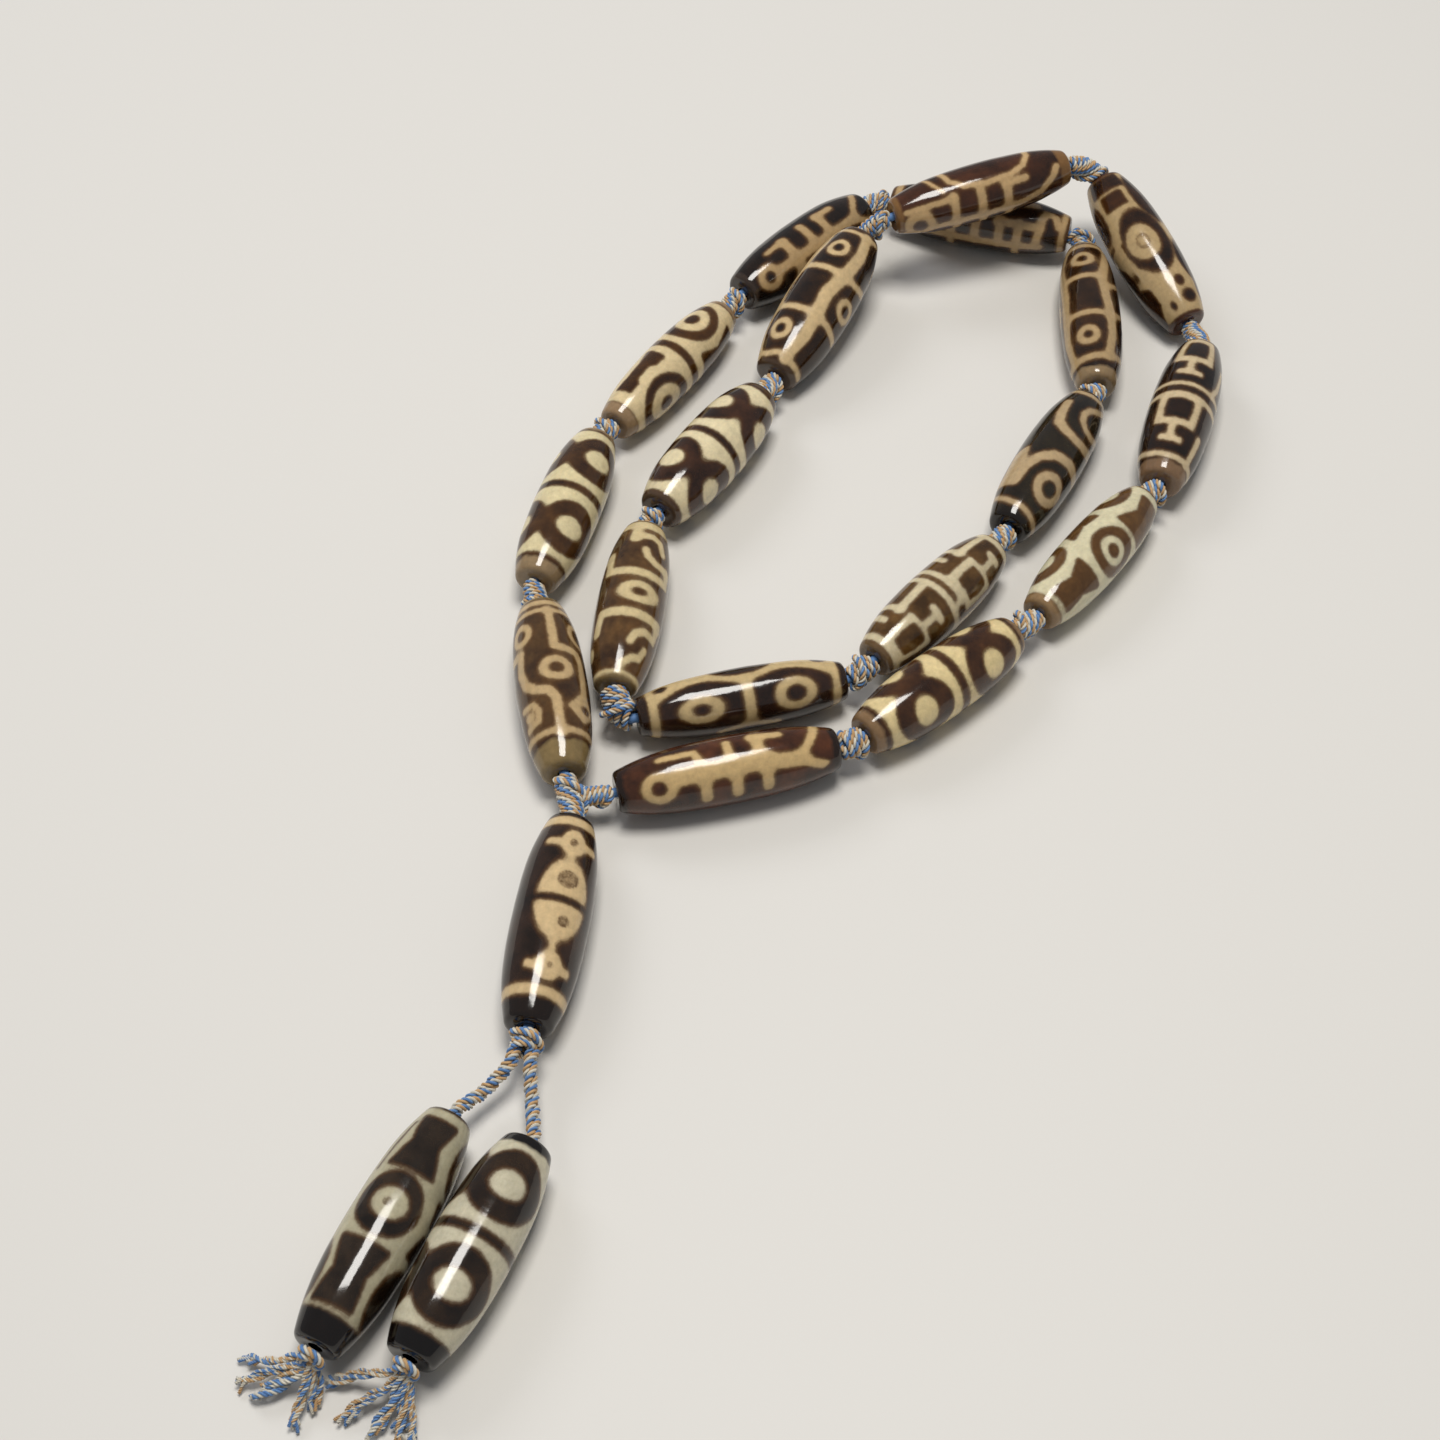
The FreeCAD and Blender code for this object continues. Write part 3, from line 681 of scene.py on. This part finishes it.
def etched_agate(name, field, field_light, pale, cap):
    """Etched and burnt agate, polished: dark stained field, pale opaque lines, clear ends."""
    material, tree, output = new_material(name)
    figure = add_node(tree, "ShaderNodeAttribute", {}, attribute_name="figure").outputs["Fac"]
    ends = add_node(tree, "ShaderNodeAttribute", {}, attribute_name="ends").outputs["Fac"]
    place = add_node(tree, "ShaderNodeAttribute", {}, attribute_name="stone").outputs["Vector"]
    # the alkali crept along the grain: the edge wanders by about 0.2 mm, in steps of about 1 mm
    creep = add_node(tree, "ShaderNodeTexNoise", {
        "Vector": place, "Scale": 1.1, "Detail": 4.0, "Roughness": 0.65})
    wander = add_node(tree, "ShaderNodeMath", {0: creep.outputs["Fac"], 1: 0.5}, operation="SUBTRACT")
    edge = add_node(tree, "ShaderNodeMath", {
        0: wander.outputs[0], 1: 0.55, 2: figure}, operation="MULTIPLY_ADD")
    ramp_place = add_node(tree, "ShaderNodeMapRange", {
        "Value": edge.outputs[0], "From Min": -0.9, "From Max": 1.1})
    # pale stone, its tan rim, the brown fringe of the stain and the field
    lines = add_node(tree, "ShaderNodeValToRGB", {"Fac": ramp_place.outputs[0]})
    lines.color_ramp.interpolation = "EASE"
    ramp_stops(lines, [(0.15, "#000000"), (0.33, "#606060"), (0.43, "#bcbcbc"), (0.53, "#f2f2f2"),
                       (0.70, "#ffffff")])
    cloud = add_node(tree, "ShaderNodeTexNoise", {
        "Vector": place, "Scale": 0.16, "Detail": 3.0, "Roughness": 0.6})
    mottle = add_node(tree, "ShaderNodeTexNoise", {
        "Vector": place, "Scale": 0.8, "Detail": 5.0, "Roughness": 0.7})
    cloud_range = add_node(tree, "ShaderNodeMapRange", {
        "Value": cloud.outputs["Fac"], "From Min": 0.35, "From Max": 0.68})
    field_mix = add_node(tree, "ShaderNodeMix", {
        "Factor": cloud_range.outputs[0], "A": colour(field), "B": colour(field_light)}, data_type="RGBA")
    mottle_range = add_node(tree, "ShaderNodeMapRange", {
        "Value": mottle.outputs["Fac"], "From Min": 0.3, "From Max": 0.7, "To Min": 0.82, "To Max": 1.1})
    field_tone = add_node(tree, "ShaderNodeMix", {
        "Factor": 1.0, "A": field_mix.outputs["Result"], "B": mottle_range.outputs[0]},
        data_type="RGBA", blend_type="MULTIPLY")
    pale_tone = add_node(tree, "ShaderNodeMix", {
        "Factor": 1.0, "A": colour(pale), "B": mottle_range.outputs[0]},
        data_type="RGBA", blend_type="MULTIPLY")
    fringe_place = add_node(tree, "ShaderNodeMapRange", {
        "Value": edge.outputs[0], "From Min": -0.2, "From Max": 0.85, "To Min": 0.9, "To Max": 0.0})
    fringed = add_node(tree, "ShaderNodeMix", {
        "Factor": fringe_place.outputs[0], "A": field_tone.outputs["Result"], "B": colour("#573613")},
        data_type="RGBA")
    drawn = add_node(tree, "ShaderNodeMix", {
        "Factor": lines.outputs["Color"], "A": pale_tone.outputs["Result"], "B": fringed.outputs["Result"]},
        data_type="RGBA")
    # the ends took no stain; the boundary wanders by about a millimetre
    drift = add_node(tree, "ShaderNodeTexNoise", {"Vector": place, "Scale": 0.35, "Detail": 2.0})
    drift_mm = add_node(tree, "ShaderNodeMath", {
        0: drift.outputs["Fac"], 1: 1.6, 2: ends}, operation="MULTIPLY_ADD")
    end_part = add_node(tree, "ShaderNodeMapRange", {
        "Value": drift_mm.outputs[0], "From Min": 0.5, "From Max": 1.2})
    end_tone = add_node(tree, "ShaderNodeMix", {
        "Factor": 1.0, "A": colour(cap), "B": mottle_range.outputs[0]},
        data_type="RGBA", blend_type="MULTIPLY")
    whole = add_node(tree, "ShaderNodeMix", {
        "Factor": end_part.outputs[0], "A": drawn.outputs["Result"], "B": end_tone.outputs["Result"]},
        data_type="RGBA")
    # the polish is a little wavy, and duller where the alkali ate the pale lines
    dull = add_node(tree, "ShaderNodeMapRange", {
        "Value": edge.outputs[0], "From Min": -0.4, "From Max": 0.5, "To Min": 0.17, "To Max": 0.10})
    wave = add_node(tree, "ShaderNodeTexNoise", {"Vector": place, "Scale": 0.45, "Detail": 2.0})
    relief = add_node(tree, "ShaderNodeBump", {
        "Height": wave.outputs["Fac"], "Strength": 0.05, "Distance": 0.0006})
    shader = add_node(tree, "ShaderNodeBsdfPrincipled", {
        "Base Color": whole.outputs["Result"], "Roughness": dull.outputs[0], "IOR": 1.54,
        "Subsurface Weight": 0.12, "Subsurface Radius": (1.0, 0.6, 0.35), "Subsurface Scale": 0.0012,
        "Normal": relief.outputs["Normal"]})
    tree.links.new(shader.outputs["BSDF"], output.inputs["Surface"])
    return material


def store(mesh, name, kind, values):
    """Keeps one value or vector for each point of a mesh, for the material to read."""
    attribute = mesh.attributes.new(name, kind, "POINT")
    attribute.data.foreach_set("vector" if kind == "FLOAT_VECTOR" else "value", values.ravel())


bead_master = turned_master()
lays = {}
polish = bpy.data.textures.new("hand_polish", "CLOUDS")
polish.noise_scale = POLISH_WAVE
for node, before, draw, upper_edge, field, field_light, pale, cap, cap_start, cap_end in BEADS:
    if before in lays:
        away_from = lays[before].centre
    else:
        low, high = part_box(before)
        away_from = (low + high) / 2
    lay = Lay(node, away_from)
    lays[node] = lay
    piece = bead_master.copy()
    piece.data = bead_master.data.copy()
    piece.name = "agate_" + node
    bpy.context.collection.objects.link(piece)
    swell = lay.diameter / (MASTER_DIAMETER * MM)
    piece.data.transform(Matrix.Diagonal((lay.length / (MASTER_LENGTH * MM), swell, swell, 1)))
    points = np.zeros(len(piece.data.vertices) * 3)
    piece.data.vertices.foreach_get("co", points)
    points = points.reshape(-1, 3) / MM
    figure = Figure(points, lay.diameter / MM, upper_edge)
    draw(figure)
    store(piece.data, "figure", "FLOAT", np.clip(figure.distance, -figure.FAR, figure.FAR))
    store(piece.data, "ends", "FLOAT", np.maximum(cap_start - points[:, 0], points[:, 0] - cap_end))
    store(piece.data, "stone", "FLOAT_VECTOR", points + np.array((len(lays) * STONE_STEP, 0, 0)))
    turn = Matrix((lay.axis, lay.side, lay.up)).transposed().to_4x4()
    piece.data.transform(Matrix.Translation(lay.centre) @ turn)
    wear = piece.modifiers.new("wear", "DISPLACE")
    wear.texture = polish
    wear.texture_coords = "LOCAL"
    wear.mid_level = 1.0
    wear.strength = POLISH_DEPTH
    bpy.context.view_layer.objects.active = piece
    bpy.ops.object.modifier_apply(modifier=wear.name)
    piece.data.materials.clear()
    piece.data.materials.append(etched_agate("etched_agate_" + node, field, field_light, pale, cap))
    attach(piece, "root")
    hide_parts(node)
bpy.data.objects.remove(bead_master)

# Cord
# Three spun polyester plies, blue, cream and gold, laid round each other. The same cord makes the
# knots, the two drop cords and the tassels, and it runs on through the beads' bores.
CORD_SIDES = 6
LAY_LENGTH = 2.0
LAY_STEPS = 10
MASTER_TURNS = 80
PLY_SHARE = 0.25
PLY_GAP = 1.04
FIBRE_TWIST = 0.6
FIBRE_STRETCH = 0.25
FIBRE_STEP = 40


def spun_polyester(name, code, paler_fibre_and_glint_code):
    """Spun polyester yarn: matt, its fibres along the ply mottled with a paler tone and a painted glint."""
    material, tree, output = new_material(name)
    fibre = add_node(tree, "ShaderNodeAttribute", {}, attribute_name="fibre").outputs["Vector"]
    strands = add_node(tree, "ShaderNodeTexNoise", {
        "Vector": fibre, "Scale": 3.2, "Detail": 4.0, "Roughness": 0.7})
    # where the fibres take the second colour: their own paler tone and a painted glint together
    paler_fibre_and_glint_mix = add_node(tree, "ShaderNodeMapRange", {
        "Value": strands.outputs["Fac"], "From Min": 0.3, "From Max": 0.7})
    tone = add_node(tree, "ShaderNodeMix", {
        "Factor": paler_fibre_and_glint_mix.outputs[0], "A": colour(code), "B": colour(paler_fibre_and_glint_code)}, data_type="RGBA")
    relief = add_node(tree, "ShaderNodeBump", {
        "Height": strands.outputs["Fac"], "Strength": 0.6, "Distance": 0.00012})
    shader = add_node(tree, "ShaderNodeBsdfPrincipled", {
        "Base Color": tone.outputs["Result"], "Roughness": 0.62, "Sheen Weight": 0.35, "Sheen Roughness": 0.4,
        "Normal": relief.outputs["Normal"]})
    tree.links.new(shader.outputs["BSDF"], output.inputs["Surface"])
    return material


# each yarn's colour, then the colour of its paler fibres, which is partly a painted glint
PLIES = [spun_polyester("polyester_blue", "#245296", "#7aa6d4"),
         spun_polyester("polyester_cream", "#b5ad98", "#ebe6d8"),
         spun_polyester("polyester_gold", "#a9783c", "#dcbb8c")]


def straight_cord():
    """One long straight cord along X, 1 mm thick: three circles swept round the axis by a screw."""
    plies = []
    for number, yarn in enumerate(PLIES):
        angle = 2 * math.pi * number / len(PLIES)
        reach = PLY_SHARE * PLY_GAP * MM
        bpy.ops.mesh.primitive_circle_add(vertices=CORD_SIDES, radius=PLY_SHARE * MM,
                                          location=(0, reach * math.cos(angle), reach * math.sin(angle)),
                                          rotation=(0, math.pi / 2, 0))
        ply = bpy.context.object
        bpy.ops.object.transform_apply(location=True, rotation=True, scale=True)
        sweep = ply.modifiers.new("lay", "SCREW")
        sweep.axis = "X"
        sweep.angle = 2 * math.pi
        sweep.screw_offset = LAY_LENGTH * MM
        sweep.iterations = MASTER_TURNS
        sweep.steps = LAY_STEPS
        sweep.render_steps = LAY_STEPS
        bpy.ops.object.modifier_apply(modifier=sweep.name)
        points = np.zeros(len(ply.data.vertices) * 3)
        ply.data.vertices.foreach_get("co", points)
        points = points.reshape(-1, 3) / MM
        turned = angle + np.sign(points[-1, 0]) * 2 * math.pi * points[:, 0] / LAY_LENGTH
        away_y = points[:, 1] - PLY_SHARE * PLY_GAP * np.cos(turned)
        away_z = points[:, 2] - PLY_SHARE * PLY_GAP * np.sin(turned)
        round_ply = np.arctan2(away_z, away_y) - FIBRE_TWIST * turned
        store(ply.data, "fibre", "FLOAT_VECTOR", np.stack(
            [points[:, 0] * FIBRE_STRETCH + number * FIBRE_STEP, np.cos(round_ply), np.sin(round_ply)], 1))
        ply.data.materials.append(yarn)
        bpy.ops.object.mode_set(mode="EDIT")
        bpy.ops.mesh.select_all(action="SELECT")
        bpy.ops.mesh.normals_make_consistent(inside=False)
        bpy.ops.mesh.select_all(action="DESELECT")
        bpy.ops.mesh.select_non_manifold()
        bpy.ops.mesh.fill_holes(sides=CORD_SIDES)
        bpy.ops.object.mode_set(mode="OBJECT")
        plies.append(ply)
        ply.select_set(False)
    for ply in plies:
        ply.select_set(True)
    bpy.context.view_layer.objects.active = plies[0]
    bpy.ops.object.join()
    plies[0].select_set(False)
    return plies[0]


cord_master = straight_cord()


def lay_cord(name, points, thickness, yarns=(0, 1, 2)):
    """The straight cord cut to length and bent along a smooth route; points and thickness in metres."""
    curve = bpy.data.curves.new(name + "_route", "CURVE")
    curve.dimensions = "3D"
    curve.use_radius = False
    curve.twist_mode = "MINIMUM"
    spline = curve.splines.new("NURBS")
    spline.points.add(len(points) - 1)
    for spot, point in zip(spline.points, points):
        spot.co = (*point, 1)
    spline.order_u = 3
    spline.use_endpoint_u = True
    spline.resolution_u = 10
    route = bpy.data.objects.new(name + "_route", curve)
    bpy.context.collection.objects.link(route)
    bpy.context.view_layer.update()
    line = bpy.data.meshes.new_from_object(route)
    spots = np.zeros(len(line.vertices) * 3)
    line.vertices.foreach_get("co", spots)
    length = np.linalg.norm(np.diff(spots.reshape(-1, 3), axis=0), axis=1).sum()
    bpy.data.meshes.remove(line)
    cord = cord_master.copy()
    cord.data = cord_master.data.copy()
    cord.name = name
    bpy.context.collection.objects.link(cord)
    for place, yarn in enumerate(yarns):
        cord.data.materials[place] = PLIES[yarn]
    cord.data.transform(Matrix.Scale(thickness / MM, 4))
    cord.select_set(True)
    bpy.context.view_layer.objects.active = cord
    bpy.ops.object.mode_set(mode="EDIT")
    bpy.ops.mesh.select_all(action="SELECT")
    bpy.ops.mesh.bisect(plane_co=(length, 0, 0), plane_no=(1, 0, 0), clear_outer=True, use_fill=True)
    bpy.ops.object.mode_set(mode="OBJECT")
    cord.data.validate()
    bend = cord.modifiers.new("bend", "CURVE")
    bend.object = route
    bend.deform_axis = "POS_X"
    bpy.ops.object.modifier_apply(modifier=bend.name)
    bpy.ops.object.shade_smooth()
    cord.select_set(False)
    bpy.data.objects.remove(route)
    return cord


def rounded_route(points):
    """A route's corners cut three times over, and the direction at each point of the result."""
    for _ in range(3):
        cut = [points[0]]
        for a, b in zip(points, points[1:]):
            cut += [a.lerp(b, 0.25), a.lerp(b, 0.75)]
        points = cut + [points[-1]]
    ahead = [points[0], *points, points[-1]]
    return points, [(b - a).normalized() for a, b in zip(ahead, ahead[2:])]


STRANDS_ACROSS = {2: 2.0, 3: 2.15}
CABLE_SPREAD = 0.56
POINTS_A_PITCH = 9


def lay_cable(name, points, thickness, strands, pitch, yarns=((0, 1, 2),), phase=0.0):
    """Several cords laid round each other along a route, joined to one object."""
    line, directions = rounded_route([Vector(point) for point in points])
    cord_thickness = thickness / STRANDS_ACROSS[strands]
    parts = []
    for strand in range(strands):
        run = 0.0
        across = directions[0].orthogonal().normalized()
        path = []
        wanted = 0.0
        for spot, (point, direction) in enumerate(zip(line, directions)):
            if spot:
                run += (point - line[spot - 1]).length
            across = (across - direction * across.dot(direction)).normalized()
            if run < wanted and spot < len(line) - 1:
                continue
            wanted = run + pitch / POINTS_A_PITCH
            turned = phase + 2 * math.pi * (strand / strands + run / pitch)
            offset = across * math.cos(turned) + direction.cross(across) * math.sin(turned)
            path.append(point + offset * (cord_thickness * CABLE_SPREAD))
        parts.append(lay_cord(name, path, cord_thickness, yarns[strand % len(yarns)]))
    return joined(parts, name)


def joined(parts, name):
    for part in parts:
        part.select_set(True)
    bpy.context.view_layer.objects.active = parts[0]
    bpy.ops.object.join()
    parts[0].select_set(False)
    parts[0].name = name
    return parts[0]


def dress(piece, slot, *nodes):
    """Puts a finished piece on the one body, in place of its solids. The slot is not used."""
    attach(piece, "root")
    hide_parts(*nodes)


# Knots
# Turns of the cord round the string between two beads, pulled tight: they fan out where the
# string bends, and the cord's ends go back into the bores.
KNOT_CORD = 1.2 * MM
KNOT_CLEARANCE = 0.25 * MM
POINTS_A_TURN = 9
CROSSING_POINTS = 8
CROSSING_TURN = 0.8
KNOT_PULL = 0.9
LINE_STEPS = 40
TANGENT_REACH = 0.02
END_ROOM = 0.4
TURN_SPACING = 0.92
TURN_DEPTH = 0.75
END_SHARE = 0.86
MIDDLE_SWELL = 0.14
TURN_WOBBLE = 0.03
TUCK_SHARE = 0.6
KNOT_PHASE_STEP = 1.7
# one for each knot in string order
KNOT_DIAMETERS = [6.3, 5.6, 5.6, 5.2, 5.4, 5.2, 5.4, 5.4, 6.6, 5.8, 5.4, 5.6, 5.2, 5.6, 5.4, 5.6, 5.2]


def wound_knot(name, start, start_axis, end, end_axis, diameter, phase):
    """Cord wound round the string from one face to another, on a smooth bend between them."""
    gap = (end - start).length
    pull = gap * KNOT_PULL
    first = start + start_axis * KNOT_CLEARANCE
    last = end - end_axis * KNOT_CLEARANCE

    def middle_line(t):
        return (first * (2 * t ** 3 - 3 * t ** 2 + 1) + start_axis * (pull * (t ** 3 - 2 * t ** 2 + t))
                + last * (-2 * t ** 3 + 3 * t ** 2) + end_axis * (pull * (t ** 3 - t ** 2)))

    def across_at(t, across):
        """The crosswise direction carried on to a place on the line, and the one square to it."""
        tangent = middle_line(min(t + TANGENT_REACH, 1)) - middle_line(max(t - TANGENT_REACH, 0))
        tangent.normalize()
        across = (across - tangent * across.dot(tangent)).normalized()
        return across, tangent.cross(across)

    line = [middle_line(i / LINE_STEPS) for i in range(LINE_STEPS + 1)]
    length = sum((b - a).length for a, b in zip(line, line[1:]))
    turns = max(2, round((length - KNOT_CORD * END_ROOM) / (KNOT_CORD * TURN_SPACING)))
    radius = diameter / 2 - KNOT_CORD * TURN_DEPTH
    margin = KNOT_CORD / 2 / length
    points = [middle_line(0.0), middle_line(margin * TUCK_SHARE)]
    across = start_axis.orthogonal().normalized()
    count = turns * POINTS_A_TURN
    for number in range(count + 1):
        t = margin + (1 - 2 * margin) * number / count
        across, upright = across_at(t, across)
        angle = phase + 2 * math.pi * turns * number / count
        swell = (END_SHARE + MIDDLE_SWELL * math.sin(math.pi * number / count)
                 + TURN_WOBBLE * math.sin(5 * angle / 3 + phase))
        offset = across * math.cos(angle) + upright * math.sin(angle)
        points.append(middle_line(t) + offset * (radius * swell))
    # the end comes back over the turns and is pulled under the first of them
    for number in range(1, CROSSING_POINTS + 1):
        share = number / CROSSING_POINTS
        t = 1 - margin - (1 - 2 * margin) * share
        across, upright = across_at(t, across)
        turned = angle + 2 * math.pi * CROSSING_TURN * share
        lift = radius + KNOT_CORD * (math.sin(math.pi * share) - 0.1)
        points.append(middle_line(t) + (across * math.cos(turned) + upright * math.sin(turned)) * lift)
    points.append(middle_line(margin * TUCK_SHARE))
    return lay_cord(name, points, KNOT_CORD)


string = ["bead_%02d" % number for number in range(1, 19)]
for number, (node, following) in enumerate(zip(string, string[1:]), 1):
    a, b = lays[node], lays[following]
    knot = wound_knot("wound_knot_%02d" % number, a.end, a.axis, b.start, b.axis,
                      KNOT_DIAMETERS[number - 1] * MM, number * KNOT_PHASE_STEP)
    dress(knot, "knots", "knot_%02d" % number)

# Junction knot
# Where the string closes: one winding from the last bead down to the pendant, and one that comes
# in from the first bead and runs into its side.
JUNCTION_DIAMETER = 5.4 * MM
BRANCH_DIAMETER = 4.4 * MM
last, first, pendant = lays["bead_18"], lays["bead_01"], lays["pendant_bead"]
trunk = wound_knot("wound_junction_trunk", last.end, last.axis, pendant.start, pendant.axis,
                   JUNCTION_DIAMETER, 0.4)
meeting = (last.end + pendant.start) / 2
branch = wound_knot("wound_junction_branch", meeting, first.axis, first.start, first.axis,
                    BRANCH_DIAMETER, 2.0)
dress(joined([trunk, branch], "wound_junction"), "knots", "junction_knot")

# Pendant knot and drop cords
# The string ends in a knot below the pendant bead, and the two drop cords leave it side by side,
# lie down on the table and run through the drop beads.
PENDANT_KNOT_DIAMETER = 5.8 * MM
PENDANT_KNOT_LENGTH = 4.6 * MM
DROP_CORD = 2.6 * MM
DROP_CORD_SPREAD = 1.45 * MM
DROP_CORD_SEAT = 1.2 * MM
DROP_LEAD = 1.5 * MM
DROP_CORD_SAG = 1.6 * MM
DROP_CORD_PITCH = 7.5 * MM
BORE_SEAT = 1.8 * MM
ROUTE_STEP = 1.5 * MM


def fine_route(points):
    """A route with points added, so that its corners are cut only a little."""
    dense = []
    for a, b in zip(points, points[1:]):
        steps = max(2, round((b - a).length / ROUTE_STEP))
        dense += [a.lerp(b, step / steps) for step in range(steps)]
    line, _ = rounded_route(dense + [points[-1]])
    return line[::3] + [line[-1]]


knot_end = pendant.end + pendant.axis * (PENDANT_KNOT_LENGTH + KNOT_CLEARANCE)
pendant_knot = wound_knot("wound_pendant_knot", pendant.end, pendant.axis, knot_end, pendant.axis,
                          PENDANT_KNOT_DIAMETER, 1.0)
dress(pendant_knot, "knots", "pendant_knot")
for side, hand in ((-1, "left"), (1, "right")):
    drop = lays["drop_bead_" + hand]
    exit_point = knot_end + pendant.side * (side * DROP_CORD_SPREAD)
    clear = exit_point + pendant.axis * DROP_LEAD
    lead_in = drop.start - drop.axis * DROP_LEAD
    middle = (clear + lead_in) / 2 - Vector((0, 0, DROP_CORD_SAG))
    route = [exit_point - pendant.axis * DROP_CORD_SEAT, clear, middle, lead_in,
             drop.start + drop.axis * BORE_SEAT]
    cord = lay_cable("laid_drop_cord_" + hand, fine_route(route), DROP_CORD, 3, DROP_CORD_PITCH)
    dress(cord, "cords", "drop_cord_" + hand)

# Tassels
# Below each drop bead the cord is knotted once more and opened into its strands, which fall to
# the table and spread.
HEAD_DIAMETER = 4.4 * MM
HEAD_LENGTH = 3.0 * MM
STRAND_REST = 0.35
# how far the solids were moved, so that the middle of the footprint is the origin
FRAME_SHIFT = Vector((0.81, 1.91, 0.0))
# strand width, place of the point in front of the head, of the bend and of the tip, in mm
STRANDS = {
    "left": [
        (1.5, (-78.4, -131.2, 5.0), (-81.6, -130.9, 3.2), (-85.9, -129.8)),
        (1.5, (-78.2, -132.3, 4.2), (-81.6, -132.6, 2.4), (-86.4, -133.6)),
        (2.1, (-77.6, -133.3, 3.8), (-80.2, -134.3, 2.2), (-83.9, -136.0)),
        (1.6, (-75.3, -133.2, 4.2), (-74.7, -134.6, 2.3), (-75.2, -136.6)),
        (1.6, (-76.4, -134.4, 3.6), (-76.8, -136.8, 1.7), (-77.8, -139.6)),
    ],
    "right": [
        (1.4, (-64.7, -133.8, 5.0), (-68.8, -133.4, 3.0), (-73.4, -133.9)),
        (1.5, (-64.2, -135.2, 4.2), (-67.6, -136.2, 2.2), (-71.0, -138.8)),
        (1.9, (-63.2, -136.2, 4.0), (-64.6, -138.2, 2.2), (-66.6, -141.4)),
        (1.5, (-62.1, -136.4, 3.8), (-62.4, -138.6, 1.9), (-62.7, -141.6)),
        (1.5, (-61.2, -135.9, 4.2), (-60.8, -138.2, 2.4), (-60.8, -141.6)),
    ],
}
# each strand is two cords, and each cord names the colours of its three plies
MIXES = [((0, 0, 1), (1, 2, 1)), ((0, 1, 2), (2, 2, 1)), ((1, 1, 0), (0, 0, 1)), ((2, 1, 2), (0, 0, 1))]
FRAY = 0.55 * MM
FRAY_LENGTH = 2.4
FRAY_START = 0.8 * MM
TWIN_SHARES = (0.95, 0.7)
TWIN_SHORTENING = 0.3
TWIN_SPREAD = 1.3
STRAND_PITCH = 4.8
STRAND_PHASE_STEP = 1.3
HEAD_ROOT = 0.3
chance = random.Random(7)


def stray(reach, rise=0.0):
    """A small random step along the table, in millimetres, with a given rise."""
    return Vector((chance.uniform(-reach, reach), chance.uniform(-reach, reach), rise))


for hand, strands in STRANDS.items():
    drop = lays["drop_bead_" + hand]
    root = drop.end + drop.axis * (HEAD_LENGTH * HEAD_ROOT)
    head_end = drop.end + drop.axis * HEAD_LENGTH
    parts = [wound_knot("tassel_head_" + hand, drop.end, drop.axis, head_end, drop.axis, HEAD_DIAMETER, 0.8)]
    for number, (width, near, bend, tip) in enumerate(strands):
        for twin in (0, 1):
            thick = width * TWIN_SHARES[twin]
            away = stray(0.8) * twin
            near_point = Vector(near) + away * 0.5
            bend_point = Vector(bend) + away + stray(0.5, 0.5 * twin)
            tip_point = Vector((*tip, thick / 2 + STRAND_REST)) + away * TWIN_SPREAD
            tip_point = bend_point.lerp(tip_point, 1.0 - TWIN_SHORTENING * twin)
            late = bend_point.lerp(tip_point, 0.55) + stray(0.5, 0.3)
            route = [root]
            route += [(point + FRAME_SHIFT) * MM for point in (near_point, bend_point, late, tip_point)]
            mix = MIXES[(number + twin) % len(MIXES)]
            parts.append(lay_cable("strand", route, thick * MM, 2, thick * STRAND_PITCH * MM, mix,
                                   number * STRAND_PHASE_STEP))
            heading = (route[-1] - route[-2]).normalized()
            for yarn in mix[0]:
                spread = stray(0.6)
                spread.z = chance.uniform(-0.1, 0.35)
                start = route[-1] - heading * FRAY_START
                end = start + (heading + spread).normalized() * (FRAY_LENGTH * chance.uniform(0.5, 0.9) * MM)
                end.z = max(end.z, FRAY)
                middle = start.lerp(end, 0.5) + Vector((0, 0, 0.3 * MM))
                parts.append(lay_cord("frayed_yarn", [start, middle, end], FRAY, [yarn] * len(PLIES)))
    dress(joined(parts, "opened_tassel_" + hand), "tassels", "tassel_" + hand)
bpy.data.objects.remove(cord_master)

# Thread inside the beads
# The hidden run of the same cord through the bores. The frame's own solids do for it, in the blue
# polyester: it shows only as a dark glint in a gap.
for node in ("loop_thread", "pendant_thread"):
    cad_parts[node].data.materials.clear()
    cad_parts[node].data.materials.append(PLIES[0])
